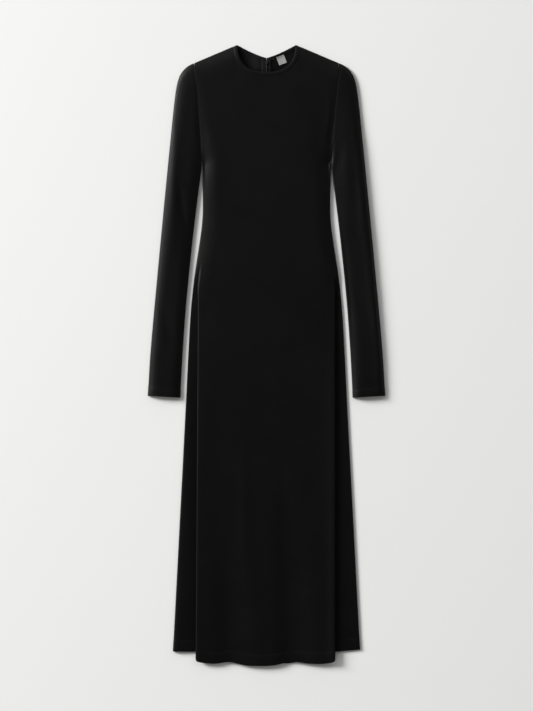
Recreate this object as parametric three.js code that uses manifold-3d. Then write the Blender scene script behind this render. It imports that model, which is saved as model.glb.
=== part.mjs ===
// A long black dress laid flat on its back: a front, two back halves, two sleeves, a neck binding,
// a concealed centre-back zip and a small bare label. Millimetres, +Z up from the surface it lies on,
// +Y towards the neck. "down" is the distance below the highest point of the shoulders.
import Module from "manifold-3d";
import * as THREE from "three";
import { mergeVertices } from "three/addons/utils/BufferGeometryUtils.js";

// Driving dimensions
const LENGTH = 1395.8; // shoulder's highest point to the lowest point of the hem
const TOP_Y = 697.45; // where that highest point lies, so that the origin is at the middle
const CLOTH = 1.5; // wall of the jersey
const BINDING = 2.0; // wall of the neck binding, which is the jersey doubled
const SEAM = 0.4; // gap between two sewn pieces
const LAYER = 0.3; // gap between two pieces that lie on each other
const CHEST = 270; // down to the underarms
const SHOULDER_TIP = { x: 162.8, down: 41.2 };
const NECK = { half: 65.8, drop: 61.4, power: 2.45, band: 7.5 }; // front neckline, inside its binding
const BACK_NECK = { half: 65.8, drop: 29.2, power: 1.26 };
// A neck band meets the shoulder seam at a slant, so it reaches this much further along it
const SLANT = { front: 1.05, back: 1.25 };

// The outline, as half widths of the laid dress
const BODY_SIDE = [
  { down: 270, half: 144.6 },
  { down: 304, half: 144.0 },
  { down: 349, half: 142.8 },
  { down: 394, half: 143.8 },
  { down: 439, half: 149.3 },
  { down: 484, half: 156.2 },
  { down: 529, half: 162.8 },
  { down: 574, half: 167.8 },
  { down: 619, half: 171.4 },
  { down: 709, half: 176.2 },
  { down: 799, half: 180.5 },
  { down: 911, half: 186.3 },
  { down: 1136, half: 198.0 },
  { down: 1365, half: 209.9 },
];
const ARMHOLE = [
  { x: 145.6, down: 270 },
  { x: 147.0, down: 240 },
  { x: 149.4, down: 207 },
  { x: 154.2, down: 146 },
  { x: 158.6, down: 95 },
  SHOULDER_TIP,
];
const SLEEVE_OUTER = [
  SHOULDER_TIP,
  { x: 176.4, down: 47.6 },
  { x: 186.6, down: 56.8 },
  { x: 195.1, down: 70.1 },
  { x: 202.8, down: 101.5 },
  { x: 215.2, down: 213.8 },
  { x: 237.6, down: 438.8 },
  { x: 260.1, down: 686.3 },
  { x: 266.4, down: 789.0 },
];
const SLEEVE_INNER = [
  { x: 146.6, down: 270 },
  { x: 150.1, down: 303.8 },
  { x: 155.9, down: 348.8 },
  { x: 166.6, down: 438.8 },
  { x: 180.4, down: 573.8 },
  { x: 188.7, down: 686.3 },
  { x: 194.4, down: 793.0 },
];
// How far the front hem rises above its lowest point, across the dress
const FRONT_HEM = [
  { across: -160, up: 9.2 },
  { across: -118, up: 5.0 },
  { across: -82, up: 8.4 },
  { across: -50, up: 1.4 },
  { across: -12, up: 0 },
  { across: 20, up: 1.6 },
  { across: 53, up: 9.0 },
  { across: 96, up: 5.0 },
  { across: 128, up: 4.9 },
  { across: 160, up: 9.6 },
];
const SIDE_HEM = 1364.5; // down to the hem where the side of the skirt shows
const SIDE_LIFT = { left: 0.7, right: 4.6, from: 155, over: 52 }; // how much it rises towards the outline
const BACK_HEM = 1391; // and at the centre back, which the front covers

// The fold down each side of the skirt
const FOLD = {
  from: 470, // down to where it starts
  full: 620, // down to where it lies right over
  x: 153.8, // its edge, from the middle
  spread: { left: 5.0, right: 0 }, // how much further out its edge is at the hem
  radius: 1.3, // of its two turns
  depth: 20, // how far the cloth goes under it at the hem
  least: 0.6, // the straight stretch between its turns where it starts
  fromEdge: 11, // where the cloth for it lies above its start
  settled: 0.6, // the share of the way to full by which the side has come down
};

// Heights of the cloth's middle above the surface
const FLOOR = CLOTH / 2;
const EDGE_Z = 2.1; // the seam where front and back meet at the outline
const EDGE = { radius: 1.6, slope: 0.2 }; // the front's rounding at the outline, then its slope
const REACH = { body: 25, sleeve: 17 }; // how far in from the outline the front still rises
const SIDE_LOW = FLOOR + CLOTH + LAYER; // the side of the skirt, lying on the back
const ARM_BLEND = { from: 140, to: 170 }; // across, where the body's reach gives way to the sleeve's
const SKIRT_MID = 6.2; // the skirt front between the folds
// Its soft valleys, which run up from where the hem is short
const VALLEYS = [
  { hemX: -84, topX: -92, topDown: 1100, depth: 2.0, half: 32 },
  { hemX: 52, topX: 36, topDown: 866, depth: 2.2, half: 30 },
];

// The zip at the centre back, with its pull on the outside, under the laid dress
const ZIP = { top: 31.7, length: 520, tape: 11, tapeWall: 0.6, coilWidth: 2.6, coilHeight: 1.2, rows: 5 };
const SLIT = { from: 38.4, to: 44.3, half: 0.85 }; // where the slider's web goes through the seam
const SLIDER = { down: 41.35, width: 4.6, length: 7.6, height: 2.2, web: 1.0, webLength: 3.6 };
const CROWN = { height: 0.5, length: 0.7 }; // where the slider's bevels start and end, as shares
const BAIL = { reach: 2.2, bar: 0.6, low: 0.3, high: 2.6, top: 0.4 }; // its loop, below the back
const SUNK = 0.1; // how far the web runs into the body and the loop
const PULL = { length: 14, width: 4.2, head: 3.3, wall: 0.6, window: 2.9, arm: 0.7, z: 1.4, clear: 0.05 };
const RAISE = { z: 2.25, half: 12, fade: 13, to: 51.7, fadeDown: 14 }; // the back's rise over the pull
const LABEL = { x: 33.9, down: 33.6, width: 18.4, height: 19, wall: 1.0, turn: 21, clear: 0.45 };

const DEGREE = Math.PI / 180;
const clamp = (value) => Math.min(1, Math.max(0, value));
const mix = (a, b, share) => a + (b - a) * share;
const smooth = (from, to, value) => {
  const share = clamp((value - from) / (to - from));
  return share * share * (3 - 2 * share);
};
const place = (x, down, z) => new THREE.Vector3(x, TOP_Y - down, z);

// A smooth curve through a table's rows, read at one column's value
function through(rows, key, result) {
  const slope = (i) => {
    const a = rows[Math.max(0, i - 1)];
    const b = rows[Math.min(rows.length - 1, i + 1)];
    return (b[result] - a[result]) / (b[key] - a[key]);
  };
  return (value) => {
    let i = rows.findIndex((row) => row[key] > value) - 1;
    if (i < -1) i = rows.length - 2;
    i = Math.max(0, i);
    const a = rows[i];
    const b = rows[i + 1];
    const span = b[key] - a[key];
    const s = clamp((value - a[key]) / span);
    return (
      a[result] * (1 + 2 * s) * (1 - s) ** 2 +
      b[result] * s * s * (3 - 2 * s) +
      slope(i) * span * s * (1 - s) ** 2 +
      slope(i + 1) * span * s * s * (s - 1)
    );
  };
}
const bodyHalf = through(BODY_SIDE, "down", "half");
const frontHemUp = through(FRONT_HEM, "across", "up");
const sideOf = (sideways) => (sideways > 0 ? "right" : "left");
const sideHem = (x, sideways) =>
  SIDE_HEM - SIDE_LIFT[sideOf(sideways)] * clamp((x - SIDE_LIFT.from) / SIDE_LIFT.over);

// A plan curve through points {x, down}
const planCurve = (rows) =>
  new THREE.CatmullRomCurve3(rows.map((p) => new THREE.Vector3(p.x, p.down, 0)), false, "centripetal");
const armhole = planCurve(ARMHOLE);
const sleeveOuter = planCurve(SLEEVE_OUTER);
const sleeveInner = planCurve(SLEEVE_INNER);

// The shoulder seam, from the tip to the neck's highest point
const SHOULDER_TOP = { x: 65.8, down: 0 };
const shoulderDown = (x) =>
  mix(SHOULDER_TOP.down, SHOULDER_TIP.down, (x - SHOULDER_TOP.x) / (SHOULDER_TIP.x - SHOULDER_TOP.x));
const shoulderRun = SHOULDER_TIP.x - SHOULDER_TOP.x;
const shoulderLength = Math.hypot(shoulderRun, SHOULDER_TIP.down);

// A place beside a neckline: moved out square to it, but along the shoulder seam at its end.
// stretch is how much further the band reaches along the seam, which it meets at a slant
const BAND_END = 0.12;
function beside(edge, normal, out, share, stretch) {
  const end = 1 - smooth(0, BAND_END, share);
  const along = stretch / shoulderLength;
  return {
    x: edge.x + out * mix(normal.x, shoulderRun * along, end),
    down: edge.down + out * mix(normal.down, SHOULDER_TIP.down * along, end),
  };
}

// The front neckline is a rounded arch, from the shoulder (turn 0) to the middle (turn 1)
const NECK_COLUMNS = 10;
const panelOut = (share) => NECK.band + SEAM + (share > 0 ? 0 : CLOTH / 2); // wider where it is upright
function neckEdge(turn) {
  const angle = (turn * Math.PI) / 2;
  return {
    x: NECK.half * Math.cos(angle) ** (2 / NECK.power),
    down: NECK.drop * Math.sin(angle) ** (2 / NECK.power),
  };
}
const NECK_SAMPLES = 400;
const neckTurns = (() => {
  const lengths = [0];
  for (let i = 1; i <= NECK_SAMPLES; i++) {
    const a = neckEdge((i - 1) / NECK_SAMPLES);
    const b = neckEdge(i / NECK_SAMPLES);
    lengths.push(lengths[i - 1] + Math.hypot(a.x - b.x, a.down - b.down));
  }
  return Array.from({ length: NECK_COLUMNS + 1 }, (_, k) => {
    const reached = (lengths[NECK_SAMPLES] * k) / NECK_COLUMNS;
    return k === NECK_COLUMNS ? 1 : lengths.findIndex((length) => length >= reached) / NECK_SAMPLES;
  });
})();
function neckPoint(k, out) {
  const edge = neckEdge(neckTurns[k]);
  if (k === NECK_COLUMNS) return { x: 0, down: edge.down + out };
  const nx = (edge.x / NECK.half) ** (NECK.power - 1) / NECK.half;
  const nd = (edge.down / NECK.drop) ** (NECK.power - 1) / NECK.drop;
  const size = Math.hypot(nx, nd);
  return beside(edge, { x: nx / size, down: nd / size }, out, k / NECK_COLUMNS, SLANT.front);
}

// The back neckline dips to the centre-back seam; share 0 is at the shoulder, 1 at the seam
function backNeckPoint(share, out) {
  const x = mix(BACK_NECK.half, SEAM / 2, share);
  const { half, drop, power } = BACK_NECK;
  const down = drop * (1 - (x / half) ** power);
  const slope = (-drop * power * (x / half) ** (power - 1)) / half;
  const size = Math.hypot(1, slope);
  const normal = share < 1 ? { x: -slope / size, down: 1 / size } : { x: 0, down: 1 };
  return beside({ x, down }, normal, out, share, SLANT.back);
}

// How far a place is from the outline where the dress is folded or seamed to its back
const OUTLINE_STEPS = 90;
const outline = (() => {
  const sides = Array.from({ length: OUTLINE_STEPS + 1 }, (_, i) => {
    const down = mix(CHEST, SIDE_HEM, i / OUTLINE_STEPS);
    return new THREE.Vector3(bodyHalf(down), down, 0);
  });
  const [above, last] = sides.slice(-2);
  sides.push(last.clone().lerp(above, (SIDE_HEM - LENGTH) / (last.y - above.y)));
  return [
    [SHOULDER_TIP, SHOULDER_TOP].map((p) => new THREE.Vector3(p.x, p.down, 0)),
    sleeveOuter.getSpacedPoints(OUTLINE_STEPS),
    sleeveInner.getSpacedPoints(OUTLINE_STEPS),
    sides.reverse(),
  ];
})();
function nearOutline(x, down) {
  const at = new THREE.Vector3(Math.abs(x), down, 0);
  const near = new THREE.Vector3();
  const segment = new THREE.Line3();
  const found = { inward: Infinity, outward: null };
  for (const line of outline) {
    for (let i = 1; i < line.length; i++) {
      segment.set(line[i - 1], line[i]).closestPointToPoint(at, true, near);
      if (near.distanceTo(at) >= found.inward) continue;
      found.inward = near.distanceTo(at);
      found.outward = { x: line[i - 1].y - line[i].y, down: line[i].x - line[i - 1].x };
    }
  }
  return found;
}
const fromOutline = (x, down) => nearOutline(x, down).inward;

// How much the front stands above the outline's seam, a distance in from it
const LEAN = Math.atan(EDGE.slope);
const ROUNDED = EDGE.radius * (1 - Math.sin(LEAN)); // how far in the rounding reaches
function rise(inward, reach) {
  if (inward < ROUNDED) return Math.sqrt(Math.max(0, EDGE.radius ** 2 - (EDGE.radius - inward) ** 2));
  const along = Math.min(inward - ROUNDED, reach);
  return EDGE.radius * Math.cos(LEAN) + EDGE.slope * along * (1 - along / (2 * reach));
}
// The sleeves' shorter reach is scaled to the same height, so that the two meet at the armhole
const PLATEAU = rise(2 * REACH.body, REACH.body);
function topZ(x, down) {
  const reach = mix(REACH.body, REACH.sleeve, smooth(ARM_BLEND.from, ARM_BLEND.to, Math.abs(x)));
  const inward = fromOutline(x, down);
  const rounding = rise(ROUNDED, reach);
  const height = rise(inward, reach);
  const above = Math.max(0, height - rounding);
  const most = rise(2 * reach, reach) - rounding;
  return EDGE_Z + Math.min(height, rounding) + (above * (PLATEAU - rounding)) / most;
}
function valleyDepth(x, down) {
  return VALLEYS.reduce((sum, valley) => {
    const along = clamp((down - valley.topDown) / (LENGTH - valley.topDown));
    const centre = mix(valley.topX, valley.hemX, along);
    return sum + valley.depth * smooth(0, 1, along) * (1 - smooth(0, valley.half, Math.abs(x - centre)));
  }, 0);
}
// The back rises from the surface to the same seam, and over the zip's pull
const BACK_TURN = EDGE_Z - FLOOR;
function pullRaise(x, down) {
  const across = 1 - smooth(RAISE.half, RAISE.half + RAISE.fade, Math.abs(x));
  return RAISE.z * across * (1 - smooth(RAISE.to, RAISE.to + RAISE.fadeDown, down));
}
function bottomZ(x, down) {
  const inward = Math.min(fromOutline(x, down), BACK_TURN);
  return EDGE_Z - Math.sqrt(BACK_TURN ** 2 - (BACK_TURN - inward) ** 2) + pullRaise(x, down);
}
// On the outline the front's edge and the back's stand upright, with the seam's gap between them
const ON_OUTLINE = 0.05;
function seamed(x, down, z, part) {
  const { inward, outward } = nearOutline(x, down);
  if (inward > ON_OUTLINE) return { x, down, z };
  return { x, down, z: EDGE_Z + (part * SEAM) / 2, outward };
}
const frontAt = (x, down) => seamed(x, down, topZ(x, down), 1);
const backAt = (x, down) => seamed(x, down, bottomZ(x, down), -1);
function placed(point, sideways) {
  const at = place(sideways * point.x, point.down, point.z);
  if (point.outward) at.outward = new THREE.Vector3(sideways * point.outward.x, -point.outward.down, 0);
  return at;
}

// A closed wall round a grid of middle points; ring joins its last column to its first
function wall(grid, thickness, ring = false) {
  const rows = grid.length;
  const columns = grid[0].length;
  const before = (j) => (ring ? (j + columns - 1) % columns : Math.max(0, j - 1));
  const after = (j) => (ring ? (j + 1) % columns : Math.min(columns - 1, j + 1));
  const points = [];
  for (const side of [1, -1]) {
    for (let i = 0; i < rows; i++) {
      for (let j = 0; j < columns; j++) {
        const across = grid[i][after(j)].clone().sub(grid[i][before(j)]);
        const along = grid[Math.min(rows - 1, i + 1)][j].clone().sub(grid[Math.max(0, i - 1)][j]);
        const out = across.cross(along);
        const { outward } = grid[i][j];
        if (outward) out.copy(outward).multiplyScalar(Math.sign(out.dot(outward)));
        out.normalize().multiplyScalar((side * thickness) / 2);
        points.push(grid[i][j].clone().add(out));
      }
    }
  }
  const at = (side, i, j) => side * rows * columns + i * columns + (j % columns);
  const faces = [];
  const quad = (a, b, c, d) => faces.push(a, b, c, a, c, d);
  const across = ring ? columns : columns - 1;
  for (let j = 0; j < across; j++) {
    for (let i = 0; i < rows - 1; i++) {
      quad(at(0, i, j), at(0, i, j + 1), at(0, i + 1, j + 1), at(0, i + 1, j));
      quad(at(1, i + 1, j), at(1, i + 1, j + 1), at(1, i, j + 1), at(1, i, j));
    }
    quad(at(1, 0, j), at(1, 0, j + 1), at(0, 0, j + 1), at(0, 0, j));
    quad(at(0, rows - 1, j), at(0, rows - 1, j + 1), at(1, rows - 1, j + 1), at(1, rows - 1, j));
  }
  if (!ring) {
    const last = columns - 1;
    for (let i = 0; i < rows - 1; i++) {
      quad(at(1, i + 1, 0), at(1, i, 0), at(0, i, 0), at(0, i + 1, 0));
      quad(at(0, i + 1, last), at(0, i, last), at(1, i, last), at(1, i + 1, last));
    }
  }
  const geometry = new THREE.BufferGeometry().setFromPoints(points);
  geometry.setIndex(faces);
  return facingOut(geometry);
}
function volume(geometry) {
  const { index, attributes } = geometry;
  const at = (k) => new THREE.Vector3().fromBufferAttribute(attributes.position, index.getX(k));
  let sum = 0;
  for (let k = 0; k < index.count; k += 3) sum += at(k).dot(at(k + 1).cross(at(k + 2))) / 6;
  return sum;
}
function facingOut(geometry) {
  if (volume(geometry) > 0) return geometry;
  const index = geometry.index;
  for (let k = 0; k < index.count; k += 3) {
    const first = index.getX(k);
    index.setX(k, index.getX(k + 1));
    index.setX(k + 1, first);
  }
  return geometry;
}
// A solid through rings of points, closed at both ends
function loft(rings) {
  const sides = rings[0].length;
  const faces = [];
  for (let i = 0; i < rings.length - 1; i++) {
    for (let j = 0; j < sides; j++) {
      const a = i * sides + j;
      const b = i * sides + ((j + 1) % sides);
      faces.push(a, b, b + sides, a, b + sides, a + sides);
    }
  }
  const end = (rings.length - 1) * sides;
  for (let j = 1; j < sides - 1; j++) faces.push(0, j + 1, j, end, end + j, end + j + 1);
  const geometry = new THREE.BufferGeometry().setFromPoints(rings.flat());
  geometry.setIndex(faces);
  return facingOut(geometry);
}
// Two closed geometries joined to one solid
const wasm = await Module();
wasm.setup();
function joined(...geometries) {
  const solids = geometries.map((geometry) => {
    const bare = geometry.clone();
    bare.deleteAttribute("normal");
    bare.deleteAttribute("uv");
    const merged = mergeVertices(bare);
    const vertProperties = new Float32Array(merged.attributes.position.array);
    const triVerts = new Uint32Array(merged.index.array);
    return new wasm.Manifold(new wasm.Mesh({ numProp: 3, vertProperties, triVerts }));
  });
  const mesh = solids.reduce((sum, solid) => sum.add(solid)).getMesh();
  const geometry = new THREE.BufferGeometry();
  geometry.setAttribute("position", new THREE.BufferAttribute(new Float32Array(mesh.vertProperties), 3));
  geometry.setIndex([...mesh.triVerts]);
  return geometry;
}

function evenly(from, to, steps) {
  return Array.from({ length: steps }, (_, i) => mix(from, to, (i + 1) / steps));
}
// Steps in from the outline: fine where the cloth turns over, then wider
const TURN_STEPS = [0, 0.15, 0.8, 3.2];
const TORSO_DOWN = [274, 288, 320, 360, 400, 437];
const FOLD_DOWN = [FOLD.from, 505, 540, 580, FOLD.full];
const SKIRT_ROWS = 7;
const HEM_ROW_GAP = 12;

// One side of the front at a level, from the outline to the middle
const ARC_STEPS = 4;
const TOP_COLUMNS = NECK_COLUMNS;
const SETTLE = 1 / 3; // the share of the top layer over which it comes down from its folded edge
const LEAST_TURN = 0.01; // the fold's columns keep their widths above its start
const FOLD_COLUMN = TURN_STEPS.length + 2; // where the first turn starts
const UPPER_COLUMN = FOLD_COLUMN + 2 * ARC_STEPS + 1; // where the top layer starts
function frontSection(down, sideways) {
  const half = bodyHalf(down);
  const lying = smooth(FOLD.from, FOLD.full, down);
  const turn = Math.max(Math.PI * lying, LEAST_TURN);
  const below = clamp((down - FOLD.full) / (SIDE_HEM - FOLD.full));
  const straight = mix(FOLD.least, FOLD.depth, below);
  const bend = (Math.PI * FOLD.radius) / turn;
  const path = [];
  for (let k = 0; k <= ARC_STEPS; k++) {
    const angle = (turn * k) / ARC_STEPS;
    path.push({ x: bend * Math.sin(angle), z: bend * (1 - Math.cos(angle)) });
  }
  const knee = path[ARC_STEPS];
  const start = { x: knee.x + straight * Math.cos(turn), z: knee.z + straight * Math.sin(turn) };
  for (let k = 0; k <= ARC_STEPS; k++) {
    const angle = turn * (1 - k / ARC_STEPS);
    path.push({
      x: start.x + bend * (Math.sin(turn) - Math.sin(angle)),
      z: start.z + bend * (Math.cos(angle) - Math.cos(turn)),
    });
  }
  const edgeOfFold = turn > Math.PI / 2 ? start.x + bend * (Math.sin(turn) - 1) : start.x;
  const spread = FOLD.spread[sideOf(sideways)];
  const foldX = Math.min(half - FOLD.fromEdge, FOLD.x + spread * below);
  const shift = half - foldX - edgeOfFold; // how far in the first turn starts
  const end = path[path.length - 1];
  const lowered = smooth(FOLD.from, mix(FOLD.from, FOLD.full, FOLD.settled), down);
  const lowZ = mix(topZ(half - shift, down), SIDE_LOW, lowered);
  const flatTop = topZ(half - shift - end.x, down);
  const lift = Math.max(0, mix(flatTop - lowZ, end.z, lying) - end.z);
  const columns = TURN_STEPS.map((inward) => ({ inward, ...frontAt(half - inward, down) }));
  const last = columns[columns.length - 1];
  for (let k = 1; k <= 2; k++) {
    const inward = mix(last.inward, shift, k / 3);
    const rounded = mix(last.z, lowZ, smooth(0, 1, k / 3));
    columns.push({ inward, z: mix(topZ(half - inward, down), rounded, lowered) });
  }
  path.forEach((p, k) => {
    const z = lowZ + p.z + lift * smooth(0, 1, k / (path.length - 1));
    columns.push({ inward: shift + p.x, z });
  });
  const edgeTop = columns[columns.length - 1];
  for (let k = 1; k <= TOP_COLUMNS; k++) {
    const inward = mix(edgeTop.inward, half, k / TOP_COLUMNS);
    const x = half - inward;
    const middle = SKIRT_MID - valleyDepth(sideways * x, down);
    const settled = mix(edgeTop.z, middle, smooth(0, SETTLE, k / TOP_COLUMNS));
    columns.push({ inward, z: mix(topZ(x, down), settled, lying) });
  }
  return columns.map((c, column) => ({ ...c, x: half - c.inward, down, column }));
}

// How far down the hem is at a column: the side's, then through the fold to the front's own
function frontHem(column, x, sideways) {
  const front = LENGTH - frontHemUp(sideways * x);
  return mix(sideHem(x, sideways), front, clamp((column - FOLD_COLUMN) / (UPPER_COLUMN - FOLD_COLUMN)));
}

// A patch between the chest line and the shoulders and neck, with its outer side along the armhole.
// Its ends stand clear of the outline, where the cloth is upright
const ARMHOLE_END = 0.05;
const clearOfArmhole = (side) =>
  SEAM / 2 + (CLOTH / 2) * (1 - smooth(0, ARMHOLE_END, side) * (1 - smooth(1 - ARMHOLE_END, 1, side)));
const YOKE_LOW = [2, 10, 30];
const YOKE_HIGH = [...TURN_STEPS, 10, 28];
const YOKE_MIDDLES = 6;
function yoke(chest, top, fromTop, heightAt) {
  const lengths = chest.map((p, j) => Math.hypot(p.x - top[j].x, p.down - top[j].down));
  const lowest = YOKE_LOW[YOKE_LOW.length - 1];
  const highest = fromTop[fromTop.length - 1];
  const middles = evenly(1, 0, YOKE_MIDDLES).slice(0, -1);
  const shares = [
    ...fromTop.map((d) => lengths.map((l) => 1 - d / l)),
    ...middles.map((s) => lengths.map((l) => mix(lowest / l, 1 - highest / l, s))),
    ...[...YOKE_LOW].reverse().map((d) => lengths.map((l) => d / l)),
    lengths.map(() => 0),
  ];
  return shares.map((share) => {
    const side = share[0];
    const hole = armhole.getPointAt(clamp(side));
    const straight = { x: mix(chest[0].x, top[0].x, side), down: mix(chest[0].down, top[0].down, side) };
    const within = side > 0 && side < 1;
    const bow = {
      x: within ? hole.x - clearOfArmhole(side) - straight.x : 0,
      down: within ? hole.y - straight.down : 0,
    };
    return chest.map((p, j) => {
      const fade = 1 - smooth(0, chest.length - 1, j);
      const x = mix(p.x, top[j].x, share[j]) + bow.x * fade;
      const down = mix(p.down, top[j].down, share[j]) + bow.down * fade;
      return heightAt(x, down);
    });
  });
}
const tipX = SHOULDER_TIP.x - SEAM / 2 - CLOTH / 2;

function frontPanel() {
  const halves = [1, -1].map((sideways) => {
    const chest = frontSection(CHEST, sideways);
    const neckStart = neckPoint(0, panelOut(0));
    const top = chest.map((p, j) => {
      if (j > UPPER_COLUMN) return neckPoint(j - UPPER_COLUMN, panelOut(j - UPPER_COLUMN));
      const share = (chest[0].x - p.x) / (chest[0].x - chest[UPPER_COLUMN].x);
      const x = mix(tipX, neckStart.x, share);
      return { x, down: shoulderDown(x) };
    });
    const rows = yoke(chest, top, YOKE_HIGH, frontAt);
    for (const down of [...TORSO_DOWN, ...FOLD_DOWN]) rows.push(frontSection(down, sideways));
    const steps = [...evenly(0, 1, SKIRT_ROWS).slice(0, -1), 1 - HEM_ROW_GAP / (LENGTH - FOLD.full), 1];
    for (const step of steps) {
      const section = frontSection(mix(FOLD.full, SIDE_HEM, step), sideways);
      const lowered = (c) => mix(FOLD.full, frontHem(c.column, c.x, sideways), step);
      rows.push(section.map((c) => ({ ...c, down: lowered(c) })));
    }
    return rows;
  });
  const grid = halves[0].map((row, i) => [
    ...halves[1][i].map((p) => placed(p, -1)).slice(0, -1),
    ...row.map((p) => placed(p, 1)).reverse(),
  ]);
  return wall(grid, CLOTH);
}

// The half back: flat on the surface, turned up to the seam at the outline
const BACK_IN = [0, 0.12, 0.6, BACK_TURN, 6, 30, 60, 85, 105, 120, 131, 138, 142]; // at the chest
const BACK_FIXED = 10; // columns nearer the outline than this keep their distance all the way down
const BACK_CORNER = 5; // the column that runs to the neck's end of the shoulder
const CENTRE_TOP = BACK_NECK.drop + NECK.band + SEAM; // down to the panel's edge at the seam
const CENTRE_STEPS = [0, 0.12, 0.6, SLIT.from - CENTRE_TOP, SLIT.to - CENTRE_TOP, 9.5, 16, 19.5, 23.5, 30, 45];
function backSection(down) {
  const half = bodyHalf(down);
  const chestHalf = bodyHalf(CHEST);
  return [...BACK_IN.map((s) => half - (s < BACK_FIXED ? s : (s * half) / chestHalf)), SEAM / 2];
}
const BACK_HEM_LEVEL = 46; // from the middle, where the back hem starts to rise to the side's
function openSlit(row) {
  const last = row[row.length - 1];
  const open = last.down > SLIT.from - ON_OUTLINE && last.down < SLIT.to + ON_OUTLINE;
  if (open) last.x = SLIT.half;
  return row;
}
function backPanel(sideways) {
  const chest = backSection(CHEST).map((x) => ({ x, down: CHEST }));
  const lastColumn = chest.length - 1;
  const start = backNeckPoint(0, panelOut(0));
  const top = chest.map((p, j) => {
    if (j >= BACK_CORNER) return backNeckPoint(backNeckShare(j), panelOut(backNeckShare(j)));
    const share = (chest[0].x - p.x) / (chest[0].x - chest[BACK_CORNER].x);
    const x = mix(tipX, start.x, share);
    return { x, down: shoulderDown(x) };
  });
  chest[lastColumn].x = SEAM / 2;
  const rows = yoke(chest, top, CENTRE_STEPS, backAt).map(openSlit);
  for (const down of [...TORSO_DOWN, ...FOLD_DOWN]) rows.push(backSection(down).map((x) => backAt(x, down)));
  for (const step of evenly(0, 1, SKIRT_ROWS - 2)) {
    const level = mix(FOLD.full, SIDE_HEM, step);
    rows.push(
      backSection(level).map((x) => {
        const hem = mix(BACK_HEM, sideHem(x, sideways), smooth(BACK_HEM_LEVEL, FOLD.x, x));
        return { ...backAt(x, level), down: mix(FOLD.full, hem, step) };
      }),
    );
  }
  return wall(rows.map((row) => row.map((p) => placed(p, sideways))), CLOTH);
}
// Where the back's columns meet the neckline, shared with its binding
function backNeckShare(column) {
  const x = backSection(CHEST);
  return (x[BACK_CORNER] - x[column]) / (x[BACK_CORNER] - x[x.length - 1]);
}

// A sleeve: a flattened tube from the armhole to the cuff, its seam on the inner edge
const SLEEVE_NEAR = [0, 0.012, 0.035, 0.07, 0.12, 0.18, 0.25, 0.33, 0.41]; // shares of its length
const SLEEVE_ROWS = [...SLEEVE_NEAR, 0.5, 0.59, 0.68, 0.77, 0.86, 0.94, 1];
const SLEEVE_IN = [0, 0.15, 0.8, 3.2, 11]; // in from either edge, with the middle between
function sleeve(sideways) {
  const grid = SLEEVE_ROWS.map((along) => {
    const inner = sleeveInner.getPointAt(along);
    const outer = sleeveOuter.getPointAt(along);
    const width = inner.distanceTo(outer);
    const point = (share) => {
      const hole = armhole.getPointAt(clamp(share));
      const fade = (1 - along) ** 2;
      const bow = {
        x: hole.x + clearOfArmhole(share) - mix(SLEEVE_INNER[0].x, SHOULDER_TIP.x, share),
        down: hole.y - mix(SLEEVE_INNER[0].down, SHOULDER_TIP.down, share),
      };
      const straight = inner.clone().lerp(outer, share);
      return { x: straight.x + bow.x * fade, down: straight.y + bow.down * fade };
    };
    const across = (ins) => [...ins.map((s) => s / width), 0.5, ...ins.map((s) => 1 - s / width).reverse()];
    const upper = across(SLEEVE_IN);
    const lower = across(SLEEVE_IN.slice(1, -1));
    return [
      ...upper.map(point).map((p) => place(sideways * p.x, p.down, topZ(p.x, p.down))),
      ...lower.map(point).map((p) => place(sideways * p.x, p.down, bottomZ(p.x, p.down))).reverse(),
    ];
  });
  return wall(grid, CLOTH, true);
}

// The bindings: narrow bands between the neck's opening and the panels
const BAND_STEPS = [0, 0.5, 1];
function frontBinding() {
  const half = neckTurns.map((_, k) =>
    BAND_STEPS.map((share) => {
      const p = neckPoint(k, share * NECK.band);
      return frontAt(p.x, p.down);
    }),
  );
  const rows = [
    ...half.map((row) => row.map((p) => placed(p, -1))).slice(0, -1),
    ...half.map((row) => row.map((p) => placed(p, 1))).reverse(),
  ];
  return wall(rows, BINDING);
}
function backBinding(sideways) {
  const columns = evenly(BACK_CORNER - 1, BACK_IN.length, BACK_IN.length - BACK_CORNER + 1);
  const rows = columns.map((column) =>
    BAND_STEPS.map((share) => {
      const p = backNeckPoint(backNeckShare(column), share * NECK.band);
      const at = backAt(p.x, p.down);
      return placed({ ...at, z: at.outward ? at.z : at.z + (BINDING - CLOTH) / 2 }, sideways);
    }),
  );
  return wall(rows, BINDING);
}

// The zip: two tapes and the closed coil inside the back, from the neck down
const ON_BINDING = [ZIP.top, CENTRE_TOP - 2 * SEAM];
const zipDowns = [
  ...ON_BINDING,
  ...CENTRE_STEPS.slice(3).map((step) => CENTRE_TOP + step),
  ...evenly(CENTRE_TOP + CENTRE_STEPS[CENTRE_STEPS.length - 1], ZIP.top + ZIP.length, ZIP.rows),
];
const insideBack = (down) => (down < CENTRE_TOP ? BINDING : CLOTH) + LAYER + pullRaise(0, down);
function zipTape(sideways) {
  const rows = zipDowns.map((down) => {
    const slit = down >= SLIT.from && down <= SLIT.to ? SLIT.half : LAYER;
    const z = insideBack(down) + ZIP.tapeWall / 2;
    return [slit, ZIP.tape / 2, ZIP.tape].map((x) => place(sideways * x, down, z));
  });
  return wall(rows, ZIP.tapeWall);
}
function zipCoil() {
  const half = ZIP.coilWidth / 2;
  const crest = ZIP.coilWidth / 3;
  const section = [
    { x: -half, z: 0 },
    { x: half, z: 0 },
    { x: crest, z: ZIP.coilHeight },
    { x: -crest, z: ZIP.coilHeight },
  ];
  const rows = zipDowns
    .filter((down) => down > SLIDER.down + SLIDER.length / 2)
    .map((down) => section.map((p) => place(p.x, down, insideBack(down) + ZIP.tapeWall + LAYER + p.z)));
  return loft(rows);
}

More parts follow.
